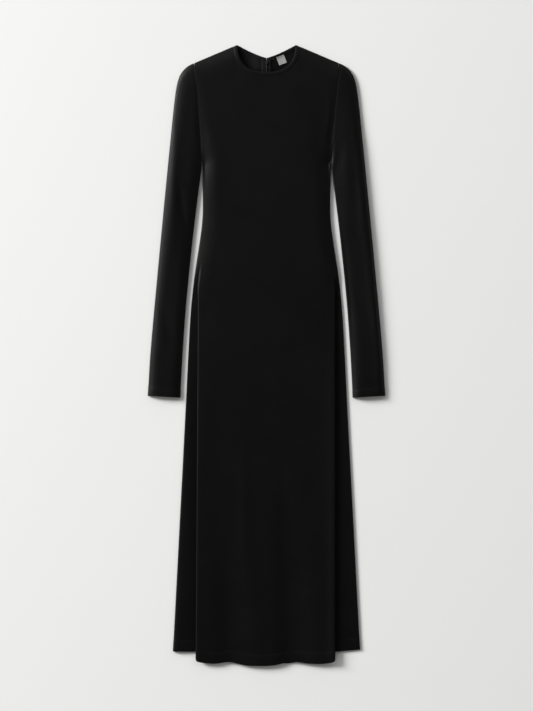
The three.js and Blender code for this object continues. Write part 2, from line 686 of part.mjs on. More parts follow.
// The slider: a body over the coil's top end, and a web down through the seam to a loop for the pull
function rectangle(along, low, high) {
  const shape = new THREE.Shape();
  shape.moveTo(-along, low).lineTo(along, low).lineTo(along, high).lineTo(-along, high).closePath();
  return shape;
}
function zipSlider() {
  const base = insideBack(SLIDER.down) + ZIP.tapeWall + LAYER;
  const body = new THREE.Shape();
  const half = SLIDER.length / 2;
  const shoulder = base + SLIDER.height * CROWN.height;
  const crown = half * CROWN.length;
  body.moveTo(-half, base).lineTo(half, base).lineTo(half, shoulder);
  body.lineTo(crown, base + SLIDER.height).lineTo(-crown, base + SLIDER.height);
  body.lineTo(-half, shoulder).closePath();
  const web = rectangle(SLIDER.webLength / 2, BAIL.high - SUNK, base + SUNK);
  const loop = rectangle(BAIL.reach, BAIL.low, BAIL.high);
  loop.holes.push(rectangle(BAIL.reach - BAIL.bar, BAIL.low + BAIL.bar, BAIL.high - BAIL.top));
  const pieces = [
    uprightShape(body, SLIDER.width),
    uprightShape(web, SLIDER.web),
    uprightShape(loop, SLIDER.web),
  ];
  return joined(...pieces).translate(0, TOP_Y - SLIDER.down, 0);
}
// A shape drawn along Y and up Z, given its width across X
function uprightShape(shape, width) {
  const geometry = new THREE.ExtrudeGeometry(shape, { depth: width, bevelEnabled: false });
  const turned = new THREE.Matrix4().makeBasis(
    new THREE.Vector3(0, 1, 0),
    new THREE.Vector3(0, 0, 1),
    new THREE.Vector3(1, 0, 0),
  );
  return geometry.translate(0, 0, -width / 2).applyMatrix4(turned);
}

// The pull: a small flat tab whose head bar lies in the slider's loop, tilted to lie on the surface
function zipPull() {
  const shape = new THREE.Shape();
  const bar = PULL.wall / 2;
  const tip = PULL.width / 2;
  const neck = -PULL.window - PULL.arm;
  shape.moveTo(-PULL.head / 2, bar).lineTo(-PULL.head / 2, neck);
  shape.absarc(0, tip - PULL.length, tip, Math.PI, 2 * Math.PI, false);
  shape.lineTo(PULL.head / 2, neck).lineTo(PULL.head / 2, bar).closePath();
  const hole = new THREE.Path();
  const inside = PULL.head / 2 - PULL.arm;
  hole.moveTo(-inside, -bar).lineTo(inside, -bar).lineTo(inside, -PULL.window).lineTo(-inside, -PULL.window);
  hole.closePath();
  shape.holes.push(hole);
  const plate = { depth: PULL.wall, bevelEnabled: false, curveSegments: 6 };
  const geometry = new THREE.ExtrudeGeometry(shape, plate);
  geometry.translate(0, 0, -PULL.wall / 2);
  const tilt = Math.asin((PULL.z - PULL.wall / 2 - PULL.clear) / PULL.length);
  return geometry.rotateX(tilt).translate(0, TOP_Y - SLIDER.down, PULL.z);
}

// The label lies inside the back, over the binding's lower edge
const LABEL_STEPS = [-0.5, -0.17, 0.17, 0.5];
function label() {
  const turn = LABEL.turn * DEGREE;
  const base = BINDING + LABEL.clear + LABEL.wall / 2;
  const rows = LABEL_STEPS.map((v) =>
    LABEL_STEPS.map((u) => {
      const x = LABEL.x + u * LABEL.width * Math.cos(turn) + v * LABEL.height * Math.sin(turn);
      const down = LABEL.down - u * LABEL.width * Math.sin(turn) + v * LABEL.height * Math.cos(turn);
      return place(x, down, base + pullRaise(x, down));
    }),
  );
  return wall(rows, LABEL.wall);
}

// Near-black jersey, a darker zip, a silvery label
const jersey = () => new THREE.MeshStandardMaterial({ color: 0x0f0f10, roughness: 0.92, metalness: 0 });
const tapeCloth = () => new THREE.MeshStandardMaterial({ color: 0x141414, roughness: 0.85, metalness: 0 });
const enamel = () => new THREE.MeshStandardMaterial({ color: 0x101010, roughness: 0.35, metalness: 0.6 });
const satin = () => new THREE.MeshStandardMaterial({ color: 0xb9b9b6, roughness: 0.6, metalness: 0 });

const group = new THREE.Group();
function piece(name, geometry, material) {
  const mesh = new THREE.Mesh(geometry, material);
  mesh.name = name;
  group.add(mesh);
}
piece("front_panel", frontPanel(), jersey());
for (const [side, sideways] of [["left", -1], ["right", 1]]) {
  piece(`back_panel_${side}`, backPanel(sideways), jersey());
  piece(`sleeve_${side}`, sleeve(sideways), jersey());
  piece(`neck_binding_back_${side}`, backBinding(sideways), jersey());
  piece(`zip_tape_${side}`, zipTape(sideways), tapeCloth());
}
piece("neck_binding_front", frontBinding(), jersey());
piece("zip_coil", zipCoil(), enamel());
piece("zip_slider", zipSlider(), enamel());
piece("zip_pull", zipPull(), enamel());
piece("label", label(), satin());

export default group;
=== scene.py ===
import math

import bmesh
import bpy
import numpy as np
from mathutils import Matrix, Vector


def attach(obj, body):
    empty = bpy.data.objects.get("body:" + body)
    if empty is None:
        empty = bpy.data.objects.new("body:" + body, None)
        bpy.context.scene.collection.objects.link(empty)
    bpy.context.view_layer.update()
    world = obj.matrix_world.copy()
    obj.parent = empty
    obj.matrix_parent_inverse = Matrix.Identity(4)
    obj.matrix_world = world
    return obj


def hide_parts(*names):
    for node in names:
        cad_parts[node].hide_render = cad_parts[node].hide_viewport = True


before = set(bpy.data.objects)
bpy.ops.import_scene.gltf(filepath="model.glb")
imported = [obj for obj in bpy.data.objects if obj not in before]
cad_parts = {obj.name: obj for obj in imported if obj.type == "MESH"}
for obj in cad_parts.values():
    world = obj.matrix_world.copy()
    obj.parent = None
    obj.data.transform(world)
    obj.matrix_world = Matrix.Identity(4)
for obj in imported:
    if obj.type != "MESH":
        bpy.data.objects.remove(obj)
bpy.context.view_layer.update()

# The cut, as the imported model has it
TOP_Y = 0.69745  # where the shoulders' top lies
LENGTH = 1.3958
CLOTH = 0.0011
HEM_CLOTH = 0.0019  # turned up, it is nearly twice as thick
BINDING = 0.0020
SEAM = 0.0004
LAYER = 0.0003
CHEST = 0.270
SHOULDER_TIP = (0.1628, 0.0412)
SHOULDER_TOP = (0.0658, 0.0)
NECK = {"half": 0.0658, "drop": 0.0614, "power": 2.45, "band": 0.0075, "slant": 1.05}
BACK_NECK = {"half": 0.0658, "drop": 0.0292, "power": 1.26, "slant": 1.25}
# Down and half width, in millimetres
BODY_SIDE = np.array((
    (270, 144.6), (304, 144), (349, 142.8), (394, 143.8), (439, 149.3), (484, 156.2), (529, 162.8),
    (574, 167.8), (619, 171.4), (709, 176.2), (799, 180.5), (911, 186.3), (1136, 198), (1365, 209.9),
)) / 1000
# x and down, in metres
ARMHOLE = ((0.1456, 0.270), (0.1470, 0.240), (0.1494, 0.207), (0.1542, 0.146), (0.1586, 0.095), SHOULDER_TIP)
SLEEVE_OUTER = (
    SHOULDER_TIP, (0.1764, 0.0476), (0.1866, 0.0568), (0.1951, 0.0701), (0.2028, 0.1015),
    (0.2152, 0.2138), (0.2376, 0.4388), (0.2601, 0.6863), (0.2664, 0.7890),
)
SLEEVE_INNER = (
    (0.1466, 0.270), (0.1501, 0.3038), (0.1559, 0.3488), (0.1666, 0.4388),
    (0.1804, 0.5738), (0.1887, 0.6863), (0.1944, 0.7930),
)
# Across the dress, and how far the front hem is above its lowest point there, in millimetres
FRONT_HEM = np.array((
    (-160, 9.2), (-118, 5), (-82, 8.4), (-50, 1.4), (-12, 0), (20, 1.6), (53, 9), (96, 5), (128, 4.9),
    (160, 9.6),
)) / 1000
SIDE_HEM = 1.3645
SIDE_LIFT = {-1: 0.0007, 1: 0.0046}  # how much it rises towards the outline, left and right
SIDE_LIFT_FROM, SIDE_LIFT_OVER = 0.155, 0.052
BACK_HEM = 1.391
BACK_HEM_LEVEL = 0.046

# The fold down each side of the skirt
FOLD_START, FOLD_FULL, FOLD_GROWN = 0.470, 0.620, 0.850
FOLD_X, FOLD_FROM_EDGE = 0.1538, 0.0110
FOLD_SPREAD = {-1: 0.0050, 1: 0.0}  # how much further out its edge is at the hem, left and right
FOLD_RADIUS = (0.0010, 0.0017)  # at its start and where it is full grown
FOLD_DEPTH, FOLD_LEAST = 0.020, 0.0006
FOLD_SETTLED = 0.6

# Heights of the cloth's middle
FLOOR = CLOTH / 2
EDGE_Z = 0.0021
EDGE_RADIUS, EDGE_SLOPE = 0.0022, 0.25
REACH = {"body": 0.034, "sleeve": 0.017}
ARM_BLEND = (0.140, 0.170)
SIDE_LOW = FLOOR + CLOTH + LAYER
SIDE_CREST = {-1: 0.0062, 1: 0.0028}  # of the side of the skirt, left and right
SKIRT_MID = 0.0078
RAISE = {"z": 0.00225, "half": 0.012, "fade": 0.028, "down": 0.0517, "fade_down": 0.014}

# Soft creases and valleys: each a line of x, down, height and width, in millimetres. Where a row has
# two widths, they are the ones on its two sides: first the side towards -x on a line that goes down
CREASES = {
    "left armhole": (
        (-162.5, 46, 0, 3, 6), (-157, 110, -0.4, 3, 10), (-153, 170, -1.4, 4, 14),
        (-149.5, 220, -2.8, 5, 18), (-146.5, 262, -3, 6, 21), (-145, 290, -1.1, 6, 18),
        (-144, 335, 0, 6, 16),
    ),
    "right armhole": (
        (162, 46, 0, 4, 8), (156, 100, -0.4, 5, 14), (149.5, 165, -1.6, 6, 22), (144, 215, -3.2, 8, 28),
        (144.5, 262, -3.6, 10, 26), (145.5, 290, -1.6, 8, 18), (145, 325, 0, 8, 16),
    ),
    "hollow by the right armhole": (
        (130, 100, 0, 16), (129, 160, -1, 19), (128, 225, -1.4, 20), (129, 285, -1, 16), (133, 350, 0, 12),
    ),
    "right sleeve's inner side": (
        (156, 262, 0, 5, 14), (157, 290, -1.2, 6, 22), (164, 349, -2.2, 6, 26), (174, 439, -2.2, 6, 28),
        (187, 560, -2, 6, 24), (195, 670, -1, 6, 18), (201, 770, 0, 6, 12),
    ),
    "right sleeve's outer side": (
        (193, 110, 0, 8, 5), (208.5, 214, 2.2, 9, 6), (231, 439, 3, 10, 6), (253.5, 686, 2.6, 9, 6),
        (259.5, 775, 1.4, 8, 5),
    ),
    "left sleeve's inner side": (
        (-160, 290, 0, 14, 5), (-165.5, 349, -0.6, 18, 6), (-176, 439, -0.6, 18, 6), (-190, 573, 0, 16, 6),
    ),
    "left sleeve fold": (
        (-206, 150, 0, 5), (-205, 200, 0.9, 6), (-207.5, 262, 1.2, 7), (-208.5, 350, 1.2, 8),
        (-212.5, 440, 0.6, 9), (-216, 500, 0, 10),
    ),
    "left sleeve crease": (
        (-196, 300, 0, 6), (-191.5, 350, -1.1, 7), (-183, 405, -1.2, 8), (-177, 455, -0.4, 8),
        (-174, 490, 0, 8),
    ),
    "left sleeve lower crease": (
        (-240, 560, 0, 10), (-228, 610, -0.8, 11), (-215, 670, -0.6, 12), (-208, 720, 0, 12),
    ),
    "right sleeve fold": (
        (206, 180, 0, 5), (212, 240, 0.9, 6), (214, 320, 1.1, 7), (214.5, 400, 0.7, 8), (217, 470, 0, 9),
    ),
    "right sleeve crease": ((164, 215, 0, 6), (166.5, 262, -1.4, 7), (169, 310, -1, 8), (173, 370, 0, 9)),
    "right sleeve lower crease": (
        (196, 500, 0, 10), (208, 560, -0.7, 12), (224, 610, -0.7, 13), (238, 650, 0, 12),
    ),
    "left chest": ((-135, 190, 0, 16), (-118, 240, 0.7, 18), (-112, 300, 0.8, 18), (-115, 370, 0, 16)),
    "right chest": ((70, 85, 0, 22), (93, 120, -0.9, 26), (110, 170, -0.5, 24), (120, 210, 0, 20)),
    "left valley": (
        (-93, 1080, 0, 20, 26), (-91, 1180, -1, 21, 32), (-86, 1290, -2.4, 22, 42),
        (-82, 1400, -3.4, 23, 48),
    ),
    "right valley": (
        (35, 860, 0, 12, 14), (37, 960, -0.6, 13, 20), (43, 1100, -1.2, 17, 32), (49, 1250, -2.4, 21, 46),
        (54, 1400, -3.4, 23, 50),
    ),
    "middle ridge": (
        (-52, 880, 0, 10), (-51, 980, 0.7, 11), (-48, 1120, 0.8, 14), (-36, 1250, 0.6, 20),
        (-20, 1400, 0.8, 26),
    ),
    "right ridge": ((100, 1000, 0, 18), (104, 1150, 0.5, 20), (108, 1400, 1.2, 22)),
    "by the right fold": (
        (153.8, 600, 0, 10), (153.8, 780, 1, 12, 17), (153.8, 1100, 1.7, 12, 22), (153.8, 1400, 2, 12, 26),
    ),
    "left side valley": (
        (-189, 960, 0, 8), (-188, 1080, -0.8, 10), (-190, 1220, -1, 12), (-192, 1365, -0.8, 13),
    ),
}


def clamp(value):
    return np.clip(value, 0.0, 1.0)


def mix(a, b, share):
    return a + (b - a) * share


def smooth(start, end, value):
    share = clamp((value - start) / (end - start))
    return share * share * (3 - 2 * share)


def through(rows, value):
    """A smooth curve through a table's rows, read at a value of its first column."""
    at, result = np.array(rows, float).T
    before, after = np.r_[at[0], at[:-1]], np.r_[at[1:], at[-1]]
    slope = (np.r_[result[1:], result[-1]] - np.r_[result[0], result[:-1]]) / (after - before)
    i = np.clip(np.searchsorted(at, value, side="right") - 1, 0, len(at) - 2)
    span = at[i + 1] - at[i]
    s = clamp((value - at[i]) / span)
    return (
        result[i] * (1 + 2 * s) * (1 - s) ** 2 + result[i + 1] * s * s * (3 - 2 * s)
        + slope[i] * span * s * (1 - s) ** 2 + slope[i + 1] * span * s * s * (s - 1)
    )


def body_half(down):
    return through(BODY_SIDE, down)


def run_along(points):
    """The length along a line at each of its points."""
    return np.r_[0, np.cumsum(np.linalg.norm(np.diff(points, axis=0), axis=1))]


def read_at(at, run, rows):
    """The rows between those that belong to a run, at some values of it."""
    return np.stack([np.interp(at, run, column) for column in rows.T], -1)


def unit(vectors):
    return vectors / np.linalg.norm(vectors, axis=1, keepdims=True)


LINE_STEPS = 300


def plan_curve(points):
    """Evenly spaced places along a smooth curve through the points."""
    points = np.array(points)
    reached = run_along(points)
    fine = np.linspace(0, reached[-1], LINE_STEPS + 1)
    line = np.stack([through(np.stack([reached, column], 1), fine) for column in points.T], 1)
    run = run_along(line)
    return read_at(np.linspace(0, run[-1], LINE_STEPS + 1), run, line)


def along(line, share):
    """The place at a share of a line's length."""
    return read_at(clamp(share) * (len(line) - 1), np.arange(len(line)), line)


armhole = plan_curve(ARMHOLE)
sleeve_outer = plan_curve(SLEEVE_OUTER)
sleeve_inner = plan_curve(SLEEVE_INNER)


def shoulder_down(x):
    return mix(SHOULDER_TOP[1], SHOULDER_TIP[1], (x - SHOULDER_TOP[0]) / (SHOULDER_TIP[0] - SHOULDER_TOP[0]))


# The outline where the dress is folded or seamed to its back
SIDE_STEPS = 90


def outline_segments():
    downs = np.linspace(CHEST, SIDE_HEM, SIDE_STEPS + 1)
    side = np.stack([body_half(downs), downs], 1)
    below = side[-1] + (side[-1] - side[-2]) * (LENGTH - SIDE_HEM) / (downs[-1] - downs[-2])
    lines = [
        np.array([SHOULDER_TIP, SHOULDER_TOP]),
        sleeve_outer[::3],
        sleeve_inner[::3],
        np.vstack([side, below]),
    ]
    return [(a, b - a) for line in lines for a, b in zip(line[:-1], line[1:])]


SEGMENTS = outline_segments()


def from_outline(x, down):
    """How far in a place is from that outline."""
    spots = np.stack(np.broadcast_arrays(np.abs(x), down), -1).reshape(-1, 2)
    nearest = np.full(len(spots), np.inf)
    for start, run in SEGMENTS:
        share = clamp((spots - start) @ run / (run @ run))
        nearest = np.minimum(nearest, np.hypot(*(spots - start - share[:, None] * run).T))
    return nearest.reshape(np.broadcast(x, down).shape)


LEAN = math.atan(EDGE_SLOPE)
ROUNDED = EDGE_RADIUS * (1 - math.sin(LEAN))  # how far in the edge's rounding reaches


def rise(inward, reach):
    """How much the front stands above the outline's seam, a distance in from it."""
    round_part = np.sqrt(np.maximum(0, EDGE_RADIUS**2 - (EDGE_RADIUS - np.minimum(inward, ROUNDED)) ** 2))
    run = np.clip(inward - ROUNDED, 0, reach)
    return round_part + EDGE_SLOPE * run * (1 - run / (2 * reach))


PLATEAU = rise(2 * REACH["body"], REACH["body"])
HEIGHT_OF_ROUNDING = rise(ROUNDED, REACH["body"])


def top_z(x, down):
    """The front layer's height; the sleeves' shorter reach is scaled to the body's height."""
    reach = mix(REACH["body"], REACH["sleeve"], smooth(*ARM_BLEND, np.abs(x)))
    height = rise(from_outline(x, down), reach)
    above = np.maximum(0, height - HEIGHT_OF_ROUNDING)
    most = EDGE_SLOPE * reach / 2
    level = PLATEAU - HEIGHT_OF_ROUNDING
    return EDGE_Z + SEAM / 2 + np.minimum(height, HEIGHT_OF_ROUNDING) + above * level / most


BACK_TURN = EDGE_Z - SEAM / 2 - FLOOR


def pull_raise(x, down):
    """How far the back stands off the floor over the zip's pull."""
    across = 1 - smooth(RAISE["half"], RAISE["half"] + RAISE["fade"], np.abs(x))
    return RAISE["z"] * across * (1 - smooth(RAISE["down"], RAISE["down"] + RAISE["fade_down"], down))


def bottom_z(x, down):
    inward = np.minimum(from_outline(x, down), BACK_TURN)
    turned = np.sqrt(np.maximum(0, BACK_TURN**2 - (BACK_TURN - inward) ** 2))
    return FLOOR + BACK_TURN - turned + pull_raise(x, down)


CREASE_CLEAR = 0.007  # creases fade out this near the outline


def creased_by(lines, x, down, clear):
    """The sum of soft creases at places; they fade out near the outline."""
    spots = np.stack(np.broadcast_arrays(x, down), -1).reshape(-1, 2)
    total = np.zeros(len(spots))
    for line in lines:
        nearest = np.full(len(spots), np.inf)
        effect = np.zeros(len(spots))
        rows = np.array([row if len(row) == 5 else (*row, row[3]) for row in line]) / 1000
        for a, b in zip(rows[:-1], rows[1:]):
            run = b[:2] - a[:2]
            share = clamp((spots - a[:2]) @ run / (run @ run))
            off = spots - a[:2] - share[:, None] * run
            far = np.hypot(*off.T)
            on_left = run[0] * off[:, 1] - run[1] * off[:, 0] > 0
            height = mix(a[2], b[2], share)
            width = np.where(on_left, mix(a[3], b[3], share), mix(a[4], b[4], share))
            effect = np.where(far < nearest, height * np.exp(-((far / width) ** 2)), effect)
            nearest = np.minimum(nearest, far)
        total += effect
    fade = smooth(0, clear, from_outline(x, down))
    return total.reshape(fade.shape) * fade


def creased(x, down):
    """The creases of the upper layer."""
    return creased_by(CREASES.values(), x, down, CREASE_CLEAR)


# Necklines. A band meets the shoulder seam at a slant, so it reaches further along it there
BAND_END = 0.12
SHOULDER_RUN = np.array(SHOULDER_TIP) - np.array(SHOULDER_TOP)
SHOULDER_WAY = SHOULDER_RUN / np.hypot(*SHOULDER_RUN)


def beside(edge, normal, out, share, slant):
    end = 1 - smooth(0, BAND_END, share)
    return edge + out * mix(normal, SHOULDER_WAY * slant, end)


def neck_edge(turn):
    angle = turn * math.pi / 2
    power = 2 / NECK["power"]
    return np.array([
        NECK["half"] * np.maximum(0, np.cos(angle)) ** power,
        NECK["drop"] * np.maximum(0, np.sin(angle)) ** power,
    ])


NECK_TURNS = np.linspace(0, 1, 2001)
NECK_RUN = run_along(neck_edge(NECK_TURNS).T)


def neck_point(share, out):
    """A place beside the front neckline, from the shoulder (share 0) to the middle (share 1)."""
    edge = neck_edge(np.interp(share * NECK_RUN[-1], NECK_RUN, NECK_TURNS))
    if share >= 1:
        return np.array([0.0, NECK["drop"] + out])
    size = np.array([NECK["half"], NECK["drop"]])
    normal = (edge / size) ** (NECK["power"] - 1) / size
    return beside(edge, normal / np.hypot(*normal), out, share, NECK["slant"])


def back_neck_point(share, out):
    """A place beside the back neckline, from the shoulder (share 0) to the seam (share 1)."""
    half, drop, power = BACK_NECK["half"], BACK_NECK["drop"], BACK_NECK["power"]
    x = mix(half, SEAM / 2, share)
    slope = -drop * power * (x / half) ** (power - 1) / half
    normal = np.array([-slope, 1.0]) / math.hypot(1, slope) if share < 1 else np.array([0.0, 1.0])
    return beside(np.array([x, drop * (1 - (x / half) ** power)]), normal, out, share, BACK_NECK["slant"])


def panel_out(share):
    """How far a panel's edge keeps from the neckline; more where it stands upright at the shoulder."""
    return NECK["band"] + SEAM + (CLOTH / 2 if share == 0 else 0)


# The camera, straight above, at the photograph's scale and frame
CAMERA_HEIGHT = 4.0
CAMERA_Y = -0.0007
CAMERA_LENS, CAMERA_SENSOR = 90, 36
scene = bpy.context.scene
scene.view_settings.view_transform = "Standard"


def linked(name, data):
    made = bpy.data.objects.new(name, data)
    scene.collection.objects.link(made)
    return made


camera = linked("camera", bpy.data.cameras.new("camera"))
camera.data.lens, camera.data.sensor_width = CAMERA_LENS, CAMERA_SENSOR
camera.location = (0, CAMERA_Y, CAMERA_HEIGHT)
scene.camera = camera


# Mesh making
SAME_POINT = 1e-7


def built(name, build):
    """A mesh of what was built."""
    mesh = bpy.data.meshes.new(name)
    build.to_mesh(mesh)
    build.free()
    return mesh


def grid_mesh(name, places, cloth, closed=False):
    """A grid of quads placed point by point, with the cloth's own flat measures as its UV map."""
    rows, columns = places.shape[:2]
    build = bmesh.new()
    bmesh.ops.create_grid(build, x_segments=columns - 1, y_segments=rows - 1, size=0.5)
    mesh = built(name, build)
    spots = np.empty(len(mesh.vertices) * 3)
    mesh.vertices.foreach_get("co", spots)
    spots = spots.reshape(-1, 3)
    column = np.rint((0.5 + spots[:, 0]) * (columns - 1)).astype(int)
    row = np.rint((0.5 - spots[:, 1]) * (rows - 1)).astype(int)
    mesh.vertices.foreach_set("co", places[row, column].ravel())
    corners = np.empty(len(mesh.loops), np.int32)
    mesh.loops.foreach_get("vertex_index", corners)
    mesh.uv_layers.new(name="cloth").data.foreach_set("uv", cloth[row, column][corners].ravel())
    if closed:
        build = bmesh.new()
        build.from_mesh(mesh)
        bmesh.ops.remove_doubles(build, verts=build.verts, dist=SAME_POINT)
        mesh = built(name, build)
    mesh.polygons.foreach_set("use_smooth", [True] * len(mesh.polygons))
    mesh.update()
    return mesh


def tube(centre, across, other, wire, sides, run):
    """An open round tube along a line, from two directions square to it and the run along it."""
    turns = np.linspace(0, 2 * math.pi, sides + 1)[:, None]
    spread = np.cos(turns)[None] * across[:, None] + np.sin(turns)[None] * other[:, None]
    measures = np.stack(np.broadcast_arrays(wire * turns.T, run[:, None]), -1)
    return grid_mesh("tube", centre[:, None] + wire * spread, measures, closed=True)


def with_closed_ends(name, tubes, sides):
    """One mesh of some open tubes, with their ends filled."""
    build = bmesh.new()
    for tube in tubes:
        build.from_mesh(tube)
    bmesh.ops.holes_fill(build, edges=[edge for edge in build.edges if edge.is_boundary], sides=sides)
    bmesh.ops.recalc_face_normals(build, faces=build.faces)
    return built(name, build)


def piece(name, mesh, material, body="dress"):
    made = linked(f"{name}_look", mesh)
    mesh.materials.append(material)
    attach(made, body)
    return made


def thicken(made, thickness, rounds, hem):
    """Gives a shell its wall, and rounds its rims. hem holds the weights of the turned-up cloth."""
    solid = made.modifiers.new("wall", "SOLIDIFY")
    solid.thickness, solid.offset = thickness, 0
    if hem is not None:
        group = made.vertex_groups.new(name="hem")
        for index in np.nonzero(hem > 0)[0]:
            group.add([int(index)], float(hem[index]), "REPLACE")
        solid.thickness = HEM_CLOTH
        solid.vertex_group, solid.thickness_vertex_group = "hem", thickness / HEM_CLOTH
    if rounds:
        finer = made.modifiers.new("rounding", "SUBSURF")
        finer.levels = finer.render_levels = rounds


def flat_measures(places, down):
    """The cloth's own measures: across from the middle column, and down."""
    steps = np.linalg.norm(np.diff(places, axis=1), axis=2)
    across = np.concatenate([np.zeros((len(places), 1)), np.cumsum(steps, axis=1)], axis=1)
    return np.stack([across - across.mean(axis=1, keepdims=True), down], -1)


def placed(x, down, z):
    return np.stack([x, TOP_Y - down, z], -1)


KEYS_IN_A_METRE = 1e7


def point_keys(spots):
    return [tuple(key) for key in np.rint(spots.reshape(-1, 3) * KEYS_IN_A_METRE).astype(int)]


def weights_of(made, places, weights):
    """The weights in the order of the mesh's own points."""
    spots = np.empty(len(made.data.vertices) * 3)
    made.data.vertices.foreach_get("co", spots)
    by_key = dict(zip(point_keys(places), weights.ravel()))
    return np.array([by_key.get(key, 0.0) for key in point_keys(spots)])


def cloth_piece(name, material, places, measures, thickness, hem=None, closed=False, rounds=1):
    """A piece of cloth from a grid of places on its middle surface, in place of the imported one."""
    made = piece(name, grid_mesh(name, places, measures, closed), material)
    thicken(made, thickness, rounds, None if hem is None else weights_of(made, places, hem))
    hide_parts(name)
    return made


# Shader node groups
def math_node(tree, operation, *values):
    node = tree.nodes.new("ShaderNodeMath")
    node.operation = operation
    for socket, value in zip(node.inputs, values):
        if isinstance(value, (int, float)):
            socket.default_value = value
        else:
            tree.links.new(value, socket)
    return node.outputs[0]


def new_group(name, inputs, outputs):
    """A node group with named float or vector inputs and float outputs."""
    tree = bpy.data.node_groups.new(name, "ShaderNodeTree")
    for label, default in inputs.items():
        kind = "NodeSocketVector" if default is None else "NodeSocketFloat"
        socket = tree.interface.new_socket(label, in_out="INPUT", socket_type=kind)
        if default is not None:
            socket.default_value = default
    for label in outputs:
        tree.interface.new_socket(label, in_out="OUTPUT", socket_type="NodeSocketFloat")
    return tree, tree.nodes.new("NodeGroupInput").outputs, tree.nodes.new("NodeGroupOutput").inputs


def knit_group():
    """Stocking stitch: columns of small Vs, as a height."""
    slant, courses_share = 1.2, 0.35
    tree, given, result = new_group("knit", {"Cloth": None, "Wale": 0.0008, "Course": 0.0006}, ["Height"])
    parts = tree.nodes.new("ShaderNodeSeparateXYZ")
    tree.links.new(given["Cloth"], parts.inputs[0])
    across = math_node(tree, "DIVIDE", parts.outputs[0], given["Wale"])
    upward = math_node(tree, "DIVIDE", parts.outputs[1], given["Course"])
    half = math_node(tree, "PINGPONG", across, 0.5)
    slanted = math_node(tree, "ADD", upward, math_node(tree, "MULTIPLY", half, slant))
    courses = math_node(tree, "SINE", math_node(tree, "MULTIPLY", slanted, 2 * math.pi))
    wales = math_node(tree, "SINE", math_node(tree, "MULTIPLY", half, 2 * math.pi))
    height = math_node(
        tree, "ADD", math_node(tree, "ABSOLUTE", wales), math_node(tree, "MULTIPLY", courses, courses_share),
    )
    tree.links.new(height, result["Height"])
    return tree


def weave_group():
    """A plain weave, as a height."""
    tree, given, result = new_group("weave", {"Cloth": None, "Thread": 0.0005}, ["Height"])
    parts = tree.nodes.new("ShaderNodeSeparateXYZ")
    tree.links.new(given["Cloth"], parts.inputs[0])
    waves = []
    for part in parts.outputs[:2]:
        threads = math_node(tree, "DIVIDE", part, given["Thread"])
        waves.append(math_node(tree, "SINE", math_node(tree, "MULTIPLY", threads, math.pi)))
    tree.links.new(math_node(tree, "MULTIPLY", *waves), result["Height"])
    return tree


def unevenness_group():
    """Slow and fine variation of a cloth, as a factor round one."""
    tree, given, result = new_group("unevenness", {"Place": None, "Scale": 14.0, "Amount": 0.1}, ["Factor"])
    slow_and_fine = ((1.0, 1.0), (6.5, 0.5))  # how many times the scale, and the share of the amount
    total = None
    for times, share in slow_and_fine:
        noise = tree.nodes.new("ShaderNodeTexNoise")
        noise.inputs["Detail"].default_value = 2
        tree.links.new(given["Place"], noise.inputs["Vector"])
        tree.links.new(math_node(tree, "MULTIPLY", given["Scale"], times), noise.inputs["Scale"])
        centred = math_node(tree, "MULTIPLY", math_node(tree, "SUBTRACT", noise.outputs["Fac"], 0.5), share)
        total = centred if total is None else math_node(tree, "ADD", total, centred)
    spread = math_node(tree, "MULTIPLY", total, given["Amount"])
    tree.links.new(math_node(tree, "ADD", spread, 1.0), result["Factor"])
    return tree


knit, weave, unevenness = knit_group(), weave_group(), unevenness_group()


def placed_group(tree, group, values, vector):
    node = tree.nodes.new("ShaderNodeGroup")
    node.node_tree = group
    for label, value in values.items():
        node.inputs[label].default_value = value
    tree.links.new(vector, node.inputs[0])
    return node.outputs[0]


def finish(name, colour, roughness, specular, uneven, bump=None, sockets=None):
    """A Principled material. uneven is the scale and amount by which its colour and roughness vary,
    and bump a fine texture, its values and its depth."""
    material = bpy.data.materials.new(name)
    material.use_nodes = True
    tree = material.node_tree
    shader = tree.nodes["Principled BSDF"]
    for label, value in {"Specular IOR Level": specular, **(sockets or {})}.items():
        shader.inputs[label].default_value = value
    source = tree.nodes.new("ShaderNodeTexCoord")
    variation = dict(zip(("Scale", "Amount"), uneven))
    factor = placed_group(tree, unevenness, variation, source.outputs["Object"])
    tint = tree.nodes.new("ShaderNodeVectorMath")
    tint.operation = "SCALE"
    tint.inputs[0].default_value = colour
    tree.links.new(factor, tint.inputs["Scale"])
    tree.links.new(tint.outputs[0], shader.inputs["Base Color"])
    tree.links.new(math_node(tree, "MULTIPLY", factor, roughness), shader.inputs["Roughness"])
    if bump:
        texture, values, depth = bump
        relief = tree.nodes.new("ShaderNodeBump")
        relief.inputs["Strength"].default_value = 1.0
        relief.inputs["Distance"].default_value = depth
        height = placed_group(tree, texture, values, source.outputs["UV"])
        tree.links.new(height, relief.inputs["Height"])
        tree.links.new(relief.outputs[0], shader.inputs["Normal"])
    return material


# Each with its roughness, specular level, unevenness and bump
KNITTED = (0.48, 0.148, (14.0, 0.14), (knit, {"Wale": 0.0009, "Course": 0.0007}, 0.00003))
JERSEY = finish("jersey", (0.0010, 0.0010, 0.0011), *KNITTED)
RIB = finish("jersey_binding", (0.0022, 0.0022, 0.0023), *KNITTED)
# Its colour is raised well above the tape's own dark grey so that it reads lighter in the shade at the back
# neck: painted light.
TAPE_WITH_PAINTED_LIGHT = finish(
    "zip_tape", (0.0080, 0.0080, 0.0083), 0.6, 0.05, (60.0, 0.2), (weave, {"Thread": 0.0006}, 0.00006),
)
# Its lighter colour is partly the coil's own grey and partly painted sheen of the nylon.
NYLON_WITH_PAINTED_SHEEN = finish("zip_coil", (0.022, 0.022, 0.023), 0.38, 0.4, (200.0, 0.2))
ENAMEL = finish("zip_metal", (0.020, 0.020, 0.021), 0.34, 0.5, (400.0, 0.4), sockets={"Metallic": 0.4})
SATIN = finish(
    "label", (0.33, 0.33, 0.325), 0.5, 0.4, (120.0, 0.12), (weave, {"Thread": 0.00045}, 0.00005),
    {"Sheen Weight": 0.15},
)
